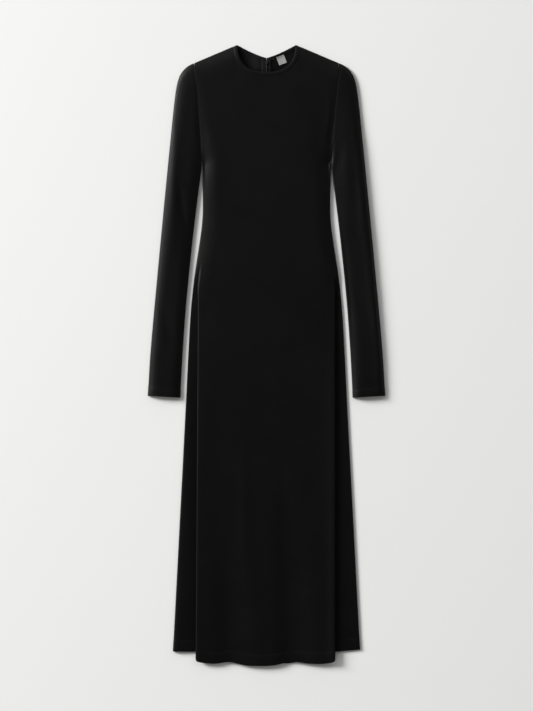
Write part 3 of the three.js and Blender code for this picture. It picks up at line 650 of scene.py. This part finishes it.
THREAD = finish("thread", (0.0022, 0.0022, 0.0023), 0.6, 0.14, (300.0, 0.3))

# The front. Its columns: the turn at the outline, the skirt's side, the fold, and then the top layer
TURN_STEPS = np.array((0, 0.00008, 0.0005, 0.0011, 0.0020, 0.0032))
NEAR_COLUMNS = 8
ARC_STEPS, STRAIGHT_STEPS = 5, 2
TOP_COLUMNS, TOP_CROWDED = 18, 1.12
TOP_SHARES = np.linspace(0, 1, TOP_COLUMNS + 1)[1:] ** TOP_CROWDED
UPPER = len(TURN_STEPS) + NEAR_COLUMNS + 2 * (ARC_STEPS + 1) + STRAIGHT_STEPS  # columns before the top layer
FOLD_COLUMN = len(TURN_STEPS) + NEAR_COLUMNS
SETTLE = 1 / 3  # the share of the top layer over which it settles to its height in the middle
LEAST_TURN = 0.01  # the fold's columns keep their widths above its start
FOLD_TAKES_OVER = 0.3  # the share of its turn from which the fold alone gives the height
SOFTNESS = 0.0004
CREST_WIDTHS = (0.012, 0.045)  # the side's crest grows with its width
CREST_FALL = (0.12, 0.9)  # and falls between these shares of it, towards the fold


def lower_of(a, b):
    """The lower of two heights, with the corner between them softened."""
    low = np.minimum(a, b)
    return low - SOFTNESS * np.log(np.exp((low - a) / SOFTNESS) + np.exp((low - b) / SOFTNESS))


def fold_path(turn, radius, straight):
    """The fold's middle line, in and up from its start, and how far out its edge is from there."""
    bend = math.pi * radius / turn
    angles = turn * np.linspace(0, 1, ARC_STEPS + 1)
    first = bend * np.array([np.sin(angles), 1 - np.cos(angles)])
    way = np.array([[math.cos(turn)], [math.sin(turn)]])
    run = first[:, -1:] + way * straight * np.linspace(0, 1, STRAIGHT_STEPS + 2)[1:-1]
    start = first[:, -1:] + way * straight
    back = angles[::-1]
    second = start + bend * np.array([math.sin(turn) - np.sin(back), np.cos(back) - math.cos(turn)])
    edge = start[0, 0] + (bend * (math.sin(turn) - 1) if turn > math.pi / 2 else 0)
    return np.hstack([first, run, second]), edge


def front_section(down, sideways):
    """One side of the front at a level, from the outline to the middle: x, height and how it creases."""
    half = body_half(down)
    lying = smooth(FOLD_START, FOLD_FULL, down)
    below = clamp((down - FOLD_FULL) / (SIDE_HEM - FOLD_FULL))
    radius = mix(*FOLD_RADIUS, smooth(FOLD_START, FOLD_GROWN, down))
    path, reach = fold_path(max(math.pi * lying, LEAST_TURN), radius, mix(FOLD_LEAST, FOLD_DEPTH, below))
    fold_x = min(half - FOLD_FROM_EDGE, FOLD_X + FOLD_SPREAD[sideways] * below)
    shift = half - fold_x - reach
    lowered = smooth(FOLD_START, mix(FOLD_START, FOLD_FULL, FOLD_SETTLED), down)
    low_z = mix(top_z(half - shift, down), SIDE_LOW, lowered)
    flat_top = top_z(half - shift - path[0, -1], down)
    lift = max(0, mix(flat_top - low_z, path[1, -1], lying) - path[1, -1])
    near = np.r_[TURN_STEPS, mix(TURN_STEPS[-1], shift, np.arange(1, NEAR_COLUMNS + 1) / (NEAR_COLUMNS + 1))]
    upper_z = top_z(half - near, down)
    crest = mix(low_z, SIDE_CREST[sideways], lowered * smooth(*CREST_WIDTHS, half - fold_x))
    fall = 1 - smooth(*CREST_FALL, near / shift)
    near_z = mix(upper_z, lower_of(upper_z, mix(low_z, crest, fall)), lowered)
    folded_z = low_z + path[1] + lift * smooth(0, 1, np.linspace(0, 1, path.shape[1]))
    path_z = mix(top_z(half - shift - path[0], down), folded_z, smooth(0, FOLD_TAKES_OVER, lying))
    top = mix(shift + path[0, -1], half, TOP_SHARES)
    settled = mix(path_z[-1], SKIRT_MID, smooth(0, SETTLE, TOP_SHARES))
    top_layer_z = mix(top_z(half - top, down), settled, lying)
    inward = np.r_[near, shift + path[0], top]
    height = np.r_[near_z, path_z, top_layer_z]
    halfway = path.shape[1] // 2
    less = np.linspace(1, 1 - lying, halfway)
    more = np.linspace(1 - lying, 1, path.shape[1] - halfway)
    creases = np.r_[np.ones(len(near)), less, more, np.ones(len(top))]
    return np.stack([half - inward, height, creases])


def side_hem(x, sideways):
    return SIDE_HEM - SIDE_LIFT[sideways] * clamp((x - SIDE_LIFT_FROM) / SIDE_LIFT_OVER)


def front_hem(x, sideways):
    """Down to the hem at each column of one side: the side's, then through the fold to the front's own."""
    share = clamp((np.arange(len(x)) - FOLD_COLUMN) / (UPPER - FOLD_COLUMN))
    return mix(side_hem(x, sideways), LENGTH - through(FRONT_HEM, sideways * x), share)


ARMHOLE_END = 0.05  # the share of the armhole at each end where the edge turns upright
DRAWN_SEAM = 0.0001  # the stitches draw the two edges together
YOKE_LOW = (0.002, 0.010, 0.022, 0.036)  # rows up from the chest line


def clear_of_armhole(share):
    """How far a piece's edge keeps from the armhole's line; more at its ends, where it stands upright."""
    inside = smooth(0, ARMHOLE_END, share) * (1 - smooth(1 - ARMHOLE_END, 1, share))
    return mix(SEAM / 2 + CLOTH / 2, DRAWN_SEAM / 2, inside)


# At an armhole's seam one edge is tucked under the other: the front's on the left, the sleeve's on the right
TUCK = {"depth": 0.0004, "width": (0.0002, 0.0016), "from": (0.046, 0.070), "to": (0.235, 0.262)}


def tucked(distance, down):
    """How much that edge dips, a distance from the seam."""
    ends = smooth(*TUCK["from"], down) * (1 - smooth(*TUCK["to"], down))
    return -TUCK["depth"] * ends * (1 - smooth(*TUCK["width"], distance))


def yoke(chest, top, from_top, middles):
    """Places between the chest line and the shoulders and neck, the outer side along the armhole."""
    lengths = np.hypot(*(chest - top).T)
    spread = np.linspace(0, 1, middles + 1)[1:-1]
    shares = [1 - d / lengths for d in from_top]
    shares += [mix(1 - from_top[-1] / lengths, YOKE_LOW[-1] / lengths, s) for s in spread]
    shares += [d / lengths for d in reversed(YOKE_LOW)]
    fade = 1 - smooth(0, len(chest) - 1, np.arange(len(chest)))[:, None]
    rows = []
    for share in shares:
        straight = mix(chest[0], top[0], share[0])
        bow = np.zeros(2)
        if 0 < share[0] < 1:
            bow = along(armhole, share[0]) - (clear_of_armhole(share[0]), 0) - straight
        rows.append(mix(chest, top, share[:, None]) + bow * fade)
    return rows


TIP_X = SHOULDER_TIP[0] - SEAM / 2 - CLOTH / 2
YOKE_HIGH = np.r_[TURN_STEPS, 0.006, 0.011, 0.018, 0.027]  # rows down from the shoulders
YOKE_ROWS = {"front": 14, "back": 9}  # between those and the lower ones
TORSO_DOWNS = np.linspace(CHEST, FOLD_START, 18)[:-1]
FOLD_DOWNS = np.linspace(FOLD_START, FOLD_FULL, 16)
SKIRT_STEPS = {"front": 44, "back": 21}
HEM_BAND = 0.025
CUFF_BAND = 0.019
HEM_ROWS = np.array((1.5, 1.06, 1.0, 0.94, 0.66, 0.33, 0.12, 0.04, 0.0))  # up from the hem, in bands
STITCH_DIP, STITCH_WIDTH = 0.00035, 0.0011  # the dimple along a row of stitches
SEWN_CLOTH = 0.0016  # the cloth's thickness along them
BAND_EDGE = (1.04, 0.98)  # the turned-up cloth starts between these, in bands up from the hem


def turned_up(from_hem, band):
    return smooth(band * BAND_EDGE[0], band * BAND_EDGE[1], from_hem)


def dimple(distance):
    return -STITCH_DIP * np.exp(-((distance / STITCH_WIDTH) ** 2))


STITCH_PITCH, STITCH_STEPS, STITCH_SIDES, STITCH_WIRE = 0.0030, 8, 5, 0.00024
STITCH_OVER, STITCH_UNDER = 0.00014, -0.0005  # the thread's middle, over a stitch and between two
STITCH_RISES = (0.05, 0.35)  # the shares of half a stitch over which the thread comes up
STITCH_ROW = -1 - list(HEM_ROWS[::-1]).index(1.0)  # the row of points along the band's upper edge


def stitches(name, places, facing):
    """The thread along a hem's upper edge, from the hem's grid. facing is 1 or -1, by the grid's sense."""
    ways = -facing * unit(np.cross(np.gradient(places, axis=1), np.gradient(places, axis=0))[STITCH_ROW])
    line = places[STITCH_ROW]
    run = run_along(line)
    count = int(run[-1] / STITCH_PITCH)
    at = np.linspace(0, 1, count * STITCH_STEPS + 1)
    spots = read_at(at * run[-1], run, line)
    out = unit(read_at(at * run[-1], run, ways))
    lift = mix(STITCH_UNDER, STITCH_OVER, smooth(*STITCH_RISES, 1 - np.abs(2 * (at * count % 1) - 1)))
    spots += out * (SEWN_CLOTH / 2 + lift[:, None])
    spots[:, 2] = np.maximum(spots[:, 2], STITCH_WIRE)  # what it lies on presses it into the cloth
    across = unit(np.cross(np.gradient(spots, axis=0), out))
    thread = tube(spots, across, out, STITCH_WIRE, STITCH_SIDES, at * run[-1])
    made = piece(f"{name}_stitches", with_closed_ends("stitches", [thread], STITCH_SIDES), THREAD)


def front_half(sideways):
    """Rows of x, down, height, hem weight from the neck to the hem, from the outline to the middle."""
    chest_x, _, _ = front_section(CHEST, sideways)
    chest = np.stack([chest_x, np.full(len(chest_x), CHEST)], 1)
    neck_start = neck_point(0, panel_out(0))
    top = np.empty_like(chest)
    for j in range(len(chest)):
        if j >= UPPER:
            share = TOP_SHARES[j - UPPER]
            top[j] = neck_point(share, panel_out(share))
        else:
            x = mix(TIP_X, neck_start[0], (chest_x[0] - chest_x[j]) / (chest_x[0] - chest_x[UPPER - 1]))
            top[j] = (x, shoulder_down(x))
    rows = []
    for spots in yoke(chest, top, YOKE_HIGH, YOKE_ROWS["front"]):
        x, down = spots.T
        z = top_z(x, down) + creased(sideways * x, down)
        if sideways < 0:
            z += tucked(chest_x[0] - chest_x, down)
        rows.append(np.stack([x, down, z, np.zeros(len(x))]))
    for level in np.r_[TORSO_DOWNS, FOLD_DOWNS]:
        x, z, share = front_section(level, sideways)
        down = np.full(len(x), level)
        rows.append(np.stack([x, down, z + share * creased(sideways * x, down), np.zeros(len(x))]))
    band = HEM_BAND / (LENGTH - FOLD_FULL)
    steps = np.r_[np.linspace(0, 1 - 2 * band, SKIRT_STEPS["front"])[1:], 1 - HEM_ROWS * band]
    for step in steps:
        x, z, share = front_section(mix(FOLD_FULL, SIDE_HEM, step), sideways)
        hem = front_hem(x, sideways)
        down = mix(FOLD_FULL, hem, step)
        from_hem = (1 - step) * (hem - FOLD_FULL)
        z = z + share * creased(sideways * x, down) + dimple(from_hem - HEM_BAND)
        rows.append(np.stack([x, down, z, turned_up(from_hem, HEM_BAND)]))
    return np.stack(rows, 1)


def front():
    left, right = front_half(-1), front_half(1)
    left[0] *= -1
    x, down, z, hem = np.concatenate([left[:, :, :-1], right[:, :, ::-1]], axis=2)
    places = placed(x, down, z)
    made = cloth_piece("front_panel", JERSEY, places, flat_measures(places, down), CLOTH, hem)
    stitches("front_hem", places, 1)


front()

# Soft waves of the back, in millimetres, which lift it off the surface a little
BACK_CREASES = (
    ((-115, 240, 0, 8), (-90, 300, 0.6, 9), (-70, 380, 0.5, 8), (-62, 470, 0, 7)),
    ((100, 330, 0, 7), (80, 400, 0.6, 9), (64, 500, 0.4, 8), (60, 580, 0, 7)),
    ((-75, 800, 0, 8), (-80, 960, 0.6, 11), (-90, 1180, 0.7, 13), (-100, 1390, 0.9, 15)),
    ((50, 920, 0, 7), (60, 1080, 0.6, 10), (64, 1240, 0.8, 13), (76, 1390, 0.9, 15)),
)

# The half backs: flat on the surface, turned up to the seam at the outline
BACK_IN = np.array((
    0, 0.15, 0.5, 0.95, 1.35, 3, 6, 14, 22, 30, 45, 60, 74, 86, 97, 106, 114, 121, 127, 132, 136, 139.5, 142,
)) / 1000  # columns in from the outline
CENTRE_STEPS = np.array((
    0, 0.15, 0.5, 1.0, 1.3, 3.2, 5.2, 7.2, 7.8, 9.5, 12.5, 16, 19.5, 23.5, 30, 45,
)) / 1000  # rows down from the neck
BACK_FIXED = 0.010  # columns nearer the outline than this keep their distance all the way down
BACK_CORNER = 9  # the column that runs to the neck's end of the shoulder
CENTRE_TOP = BACK_NECK["drop"] + NECK["band"] + SEAM
SLIT, SLIT_HALF = (0.0384, 0.0443), 0.00085  # where the zip's slider goes through the seam
SLIT_NEAR = 1e-5  # rows this near its ends are widened with it


def back_section(down):
    half = body_half(down)
    narrowed = np.where(BACK_IN < BACK_FIXED, BACK_IN, BACK_IN * half / body_half(CHEST))
    return np.r_[half - narrowed, SEAM / 2]


def back_neck_shares():
    """The share of the neckline at each column from the corner on."""
    x = back_section(CHEST)
    return (x[BACK_CORNER] - x[BACK_CORNER:]) / (x[BACK_CORNER] - x[-1])


def back(name, sideways):
    chest_x = back_section(CHEST)
    chest = np.stack([chest_x, np.full(len(chest_x), CHEST)], 1)
    top = np.empty_like(chest)
    for j, share in enumerate(back_neck_shares(), BACK_CORNER):
        top[j] = back_neck_point(share, panel_out(share))
    shares = (chest_x[0] - chest_x[:BACK_CORNER]) / (chest_x[0] - chest_x[BACK_CORNER])
    top[:BACK_CORNER, 0] = mix(TIP_X, top[BACK_CORNER, 0], shares)
    top[:BACK_CORNER, 1] = shoulder_down(top[:BACK_CORNER, 0])
    rows = []

    def add(x, down, level_x, level, from_hem):
        hem = turned_up(from_hem, HEM_BAND)
        lift = creased_by(BACK_CREASES, sideways * x, down, HEM_BAND)
        z = bottom_z(level_x, level) + lift + hem * (HEM_CLOTH - CLOTH) / 2
        rows.append(np.stack([sideways * x, down, z, hem]))

    far = np.ones(len(chest_x))  # from the hem
    for x, down in (spots.T for spots in yoke(chest, top, CENTRE_STEPS, YOKE_ROWS["back"])):
        if SLIT[0] - SLIT_NEAR < down[-1] < SLIT[1] + SLIT_NEAR:
            x[-1] = SLIT_HALF
        add(x, down, x, down, far)
    for level in np.r_[TORSO_DOWNS[::2], FOLD_DOWNS[::2]]:
        x = back_section(level)
        add(x, np.full(len(x), level), x, level, far)
    band = HEM_BAND / (BACK_HEM - FOLD_FULL)
    for step in np.r_[np.linspace(0, 1 - 2 * band, SKIRT_STEPS["back"])[1:], 1 - HEM_ROWS * band]:
        level = mix(FOLD_FULL, SIDE_HEM, step)
        x = back_section(level)
        hem = mix(BACK_HEM, side_hem(x, sideways), smooth(BACK_HEM_LEVEL, FOLD_X, x))
        add(x, mix(FOLD_FULL, hem, step), x, level, (1 - step) * (hem - FOLD_FULL))
    x, down, z, hem = np.stack(rows, 1)
    places = placed(x, down, z)
    made = cloth_piece(name, JERSEY, places, flat_measures(places, down), CLOTH, hem)
    stitches(name.replace("panel", "hem"), places, sideways)


# The sleeves: flattened tubes from the armhole to the cuff, the seam on the inner edge
SLEEVE_IN = np.array((0, 0.15, 0.5, 1.1, 2.0, 3.2, 5.5, 9, 13)) / 1000
SLEEVE_MIDDLES = 6
SLEEVE_TOP_STEPS = (0, 0.0001, 0.0007, 0.004, 0.010)  # shares of its length
SLEEVE_FROM, SLEEVE_STEPS = 0.022, 52


def sleeve_row(share):
    """Places across a sleeve at a share of its length: the upper layer's, and the lower's on the way back."""
    inner, outer = along(sleeve_inner, share), along(sleeve_outer, share)
    width = np.hypot(*(outer - inner))
    near = SLEEVE_IN / width
    upper = np.r_[near, np.linspace(near[-1], 1 - near[-1], SLEEVE_MIDDLES + 2)[1:-1], 1 - near[::-1]]
    lower = upper[-2:0:-1]
    places = []
    for across in (upper, lower):
        hole = along(armhole, across) + np.stack([clear_of_armhole(across), 0 * across], 1)
        corner = mix(np.array([[SLEEVE_INNER[0][0], CHEST]]), np.array([SHOULDER_TIP]), across[:, None])
        places.append(mix(inner, outer, across[:, None]) + (hole - corner) * (1 - share) ** 2)
    return places


def sleeve(name, sideways):
    length = run_along(mix(sleeve_inner, sleeve_outer, 0.5))[-1]
    band = CUFF_BAND / length
    steps = np.r_[SLEEVE_TOP_STEPS, np.linspace(SLEEVE_FROM, 1 - 2 * band, SLEEVE_STEPS), 1 - HEM_ROWS * band]
    rows = []
    for step in steps:
        upper, lower = sleeve_row(step)
        from_hem = (1 - step) * length
        hem = turned_up(from_hem, CUFF_BAND)
        x, down = upper.T
        top = top_z(x, down) + creased(sideways * x, down) + dimple(from_hem - CUFF_BAND)
        if sideways > 0:
            top += tucked(step * length, down)
        low_x, low_down = lower.T
        under = bottom_z(low_x, low_down) + hem * (HEM_CLOTH - CLOTH) / 2
        x, down, z = np.r_[x, low_x], np.r_[down, low_down], np.r_[top, under]
        row = np.stack([sideways * x, down, z, np.full(len(x), hem), np.full(len(x), step * length)])
        rows.append(np.hstack([row, row[:, :1]]))
    x, down, z, hem, run = np.stack(rows, 1)
    places = placed(x, down, z)
    made = cloth_piece(name, JERSEY, places, flat_measures(places, run), CLOTH, hem, closed=True)
    stitches(name.replace("sleeve", "cuff"), places, sideways)


# The bindings, crowned between their two edges
BAND_SHARES = np.array((0, 0.03, 0.12, 0.28, 0.5, 0.72, 0.88, 0.97, 1))
BAND_RUNS_ON = 0.85  # of the seam's gap, nearly to the panel's edge
BAND_REACH = NECK["band"] + BAND_RUNS_ON * SEAM
BAND_CLOTH = 0.0017
BAND_CROWN = 0.00035
FRONT_BAND_COLUMNS, BACK_BAND_COLUMNS = 56, 30


def binding(name, lines, heights):
    """A band through lines of places, each across it, and the heights of its middle surface."""
    crown = BAND_CROWN * (1 - (2 * BAND_SHARES - 1) ** 4)
    x, down = lines[..., 0], lines[..., 1]
    z = heights + crown
    places = placed(x, down, z)
    run = run_along(places[:, len(BAND_SHARES) // 2])
    measures = flat_measures(places, np.repeat(run[:, None], z.shape[1], 1))
    made = cloth_piece(name, RIB, places, measures, BAND_CLOTH)


def band_lines(point, columns):
    shares = np.linspace(0, 1, columns + 1)
    return np.array([[point(share, out * BAND_REACH) for out in BAND_SHARES] for share in shares])


def front_binding():
    half = band_lines(neck_point, FRONT_BAND_COLUMNS)
    lines = np.concatenate([half * (-1, 1), half[-2::-1]])
    heights = top_z(lines[..., 0], lines[..., 1])
    binding("neck_binding_front", lines, heights)


def back_binding(name, sideways):
    lines = band_lines(back_neck_point, BACK_BAND_COLUMNS)
    heights = bottom_z(lines[..., 0], lines[..., 1]) + (BAND_CLOTH - CLOTH) / 2
    binding(name, lines * (sideways, 1), heights)


# The zip: two tapes and two rows of coil inside the back, and the slider at their top
PACKED_CLOTH = 0.0015  # the slider is placed over cloth of this thickness
ZIP_TOP, ZIP_END = 0.0317, 0.5517
TAPE_HALF, TAPE_CLOTH, TAPE_COLUMNS = 0.011, 0.0006, 5
TAPE_OPENS = 0.0018  # the tapes part over this length, on either side of the slit
SLIDER_DOWN, SLIDER_LENGTH = 0.04135, 0.0076
COIL_PITCH, COIL_WIRE, COIL_SIDES, COIL_STEPS = 0.0013, 0.00028, 5, 8
COIL_X, COIL_RADII = 0.00055, (0.00078, 0.00048)
COIL_ENDS = 0.004  # above the tapes' lower end
BAND_STEP = 0.0012  # half the length over which the zip comes down off the band
ZIP_FINE_TO, ZIP_COARSE_FROM = CENTRE_TOP + CENTRE_STEPS[-1], CENTRE_TOP + 0.060
zip_downs = np.r_[np.linspace(ZIP_TOP, ZIP_FINE_TO, 40), np.linspace(ZIP_COARSE_FROM, ZIP_END, 30)]


def over_back(down):
    """The height that a piece along the centre back lies at."""
    under = mix(BINDING, PACKED_CLOTH, smooth(CENTRE_TOP - BAND_STEP, CENTRE_TOP + BAND_STEP, down))
    return under + LAYER + pull_raise(0, down)


def zip_tape(name, sideways):
    closes = smooth(SLIT[1], SLIT[1] + TAPE_OPENS, zip_downs)
    inner = mix(LAYER, SLIT_HALF, smooth(SLIT[0] - TAPE_OPENS, SLIT[0], zip_downs) * (1 - closes))
    x = sideways * mix(inner[:, None], TAPE_HALF, np.linspace(0, 1, TAPE_COLUMNS))
    down = np.repeat(zip_downs[:, None], TAPE_COLUMNS, 1)
    places = placed(x, down, over_back(down) + TAPE_CLOTH / 2)
    made = cloth_piece(name, TAPE_WITH_PAINTED_LIGHT, places, flat_measures(places, down), TAPE_CLOTH, rounds=0)


def zip_coil():
    start = SLIDER_DOWN + SLIDER_LENGTH / 2
    turns = int((ZIP_END - COIL_ENDS - start) / COIL_PITCH)
    angle = np.linspace(0, 2 * math.pi * turns, turns * COIL_STEPS + 1)
    wires = []
    for side in (-1, 1):
        down = start + COIL_PITCH * (angle / (2 * math.pi) + (0.5 if side > 0 else 0))
        base = over_back(down) + TAPE_CLOTH + COIL_WIRE
        x = side * (COIL_X - COIL_RADII[0] * np.cos(angle))
        centre = placed(x, down, base + COIL_RADII[1] * (1 + np.sin(angle)))
        way = unit(np.gradient(centre, axis=0))
        other = unit(np.cross(way, (0.0, 1.0, 0.0)))
        wires.append(tube(centre, np.cross(other, way), other, COIL_WIRE, COIL_SIDES, down))
    made = piece("zip_coil", with_closed_ends("zip_coil", wires, COIL_SIDES), NYLON_WITH_PAINTED_SHEEN)
    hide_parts("zip_coil")


SHARP, LEVEL = math.radians(25), math.radians(1)  # edges to break, and faces to join
NODE_SAME_POINT = 1e-6
BROKEN_EDGE = 0.00012


def bevelled(node, width, material, body):
    """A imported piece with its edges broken."""
    build = bmesh.new()
    build.from_mesh(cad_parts[node].data)
    bmesh.ops.remove_doubles(build, verts=build.verts, dist=NODE_SAME_POINT)
    bmesh.ops.dissolve_limit(build, angle_limit=LEVEL, verts=build.verts, edges=build.edges)
    sharp = [edge for edge in build.edges if edge.calc_face_angle(0) > SHARP]
    bmesh.ops.bevel(
        build, geom=sharp, offset=width, affect="EDGES", segments=2, profile=0.5, material=-1,
        clamp_overlap=True,
    )
    bmesh.ops.triangulate(build, faces=build.faces)
    made = piece(node, built(node, build), material, body)
    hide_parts(node)


# The label: a bare woven square, sewn on over the binding's edge
LABEL = {"x": 0.0339, "down": 0.0336, "width": 0.0184, "height": 0.019, "cloth": 0.0006, "turn": 21}
LABEL_SHARES = np.array((-0.5, -0.49, -0.46, -0.38, -0.25, -0.12, 0, 0.12, 0.25, 0.38, 0.46, 0.49, 0.5))
LABEL_ON = (0.0060, 0.0115)  # down from the neckline, where it comes off the binding
LABEL_CLEAR = 0.0002
LABEL_OVER_BAND = BAND_CLOTH + BAND_CROWN + 0.0001
LABEL_BOW = 0.0005  # how far its loose lower edge stands off in the middle


def label_place(u, v):
    turn = math.radians(LABEL["turn"])
    x = LABEL["x"] + u * LABEL["width"] * math.cos(turn) + v * LABEL["height"] * math.sin(turn)
    down = LABEL["down"] - u * LABEL["width"] * math.sin(turn) + v * LABEL["height"] * math.cos(turn)
    neck = BACK_NECK["drop"] * (1 - (x / BACK_NECK["half"]) ** BACK_NECK["power"])
    under = mix(LABEL_OVER_BAND, CLOTH, smooth(*LABEL_ON, down - neck))
    bow = LABEL_BOW * (1 - 4 * u * u) * (0.5 + v)
    return placed(x, down, under + LABEL_CLEAR + LABEL["cloth"] / 2 + bow + pull_raise(x, down))


def label():
    u, v = np.meshgrid(LABEL_SHARES, LABEL_SHARES)
    measures = np.stack([u * LABEL["width"], v * LABEL["height"]], -1)
    made = cloth_piece("label", SATIN, label_place(u, v), measures, LABEL["cloth"])


back("back_panel_left", -1)
back("back_panel_right", 1)
sleeve("sleeve_left", -1)
sleeve("sleeve_right", 1)
front_binding()
back_binding("neck_binding_back_left", -1)
back_binding("neck_binding_back_right", 1)
zip_tape("zip_tape_left", -1)
zip_tape("zip_tape_right", 1)
zip_coil()
bevelled("zip_slider", BROKEN_EDGE, ENAMEL, "dress")
bevelled("zip_pull", BROKEN_EDGE, ENAMEL, "pull")
label()

# Floor and lights
FLOOR_SIZE = 14
FLOOR_BELOW = 0.0002  # just under the cloth, so that the two faces don't coincide
FLOOR_COLOUR = (0.80, 0.80, 0.785)
KEY = {"place": (-10.4, 5.2, 4.3), "size": 4.3, "power": 2800}
SKY = {"overhead": 0.04, "walls": 0.66}
WALLS_LEAN = (-0.42, 0.82, 0.0)  # the walls on this side are the brighter ones
WALLS_TOP = (0.86, 0.62)  # they end between these heights on a sphere of one


def floor():
    build = bmesh.new()
    bmesh.ops.create_grid(build, x_segments=1, y_segments=1, size=FLOOR_SIZE / 2)
    bmesh.ops.translate(build, verts=build.verts, vec=(0, 0, -FLOOR_BELOW))
    made = linked("floor", built("floor", build))
    made.data.materials.append(finish("floor", FLOOR_COLOUR, 0.85, 0.1, (2.0, 0.01)))


def area_light(name, place, size, power):
    """A soft round light that faces the dress."""
    lamp = bpy.data.lights.new(name, "AREA")
    lamp.shape, lamp.size, lamp.energy = "DISK", size, power
    made = linked(name, lamp)
    made.location = place
    made.rotation_euler = (-Vector(place)).to_track_quat("-Z", "Y").to_euler()


def sky(overhead, around):
    """Soft light from pale walls all round, stronger above left in the picture, and less from overhead."""
    world = bpy.data.worlds.new("sky")
    world.use_nodes = True
    tree = world.node_tree
    background = tree.nodes["Background"]
    background.inputs["Color"].default_value = (1.0, 1.0, 1.0, 1.0)
    way = tree.nodes.new("ShaderNodeTexCoord").outputs["Generated"]
    parts = tree.nodes.new("ShaderNodeSeparateXYZ")
    tree.links.new(way, parts.inputs[0])
    toward = tree.nodes.new("ShaderNodeVectorMath")
    toward.operation = "DOT_PRODUCT"
    toward.inputs[1].default_value = WALLS_LEAN
    tree.links.new(way, toward.inputs[0])
    walls = tree.nodes.new("ShaderNodeMapRange")
    walls.interpolation_type = "SMOOTHSTEP"
    ends = {"From Min": WALLS_TOP[0], "From Max": WALLS_TOP[1], "To Min": 0.0, "To Max": around}
    for label, value in ends.items():
        walls.inputs[label].default_value = value
    tree.links.new(parts.outputs[2], walls.inputs["Value"])
    leaning = math_node(tree, "ADD", toward.outputs["Value"], 1.0)
    strength = math_node(tree, "MULTIPLY", walls.outputs[0], leaning)
    tree.links.new(math_node(tree, "ADD", strength, overhead), background.inputs["Strength"])
    scene.world = world


floor()
area_light("key", KEY["place"], KEY["size"], KEY["power"])
sky(SKY["overhead"], SKY["walls"])
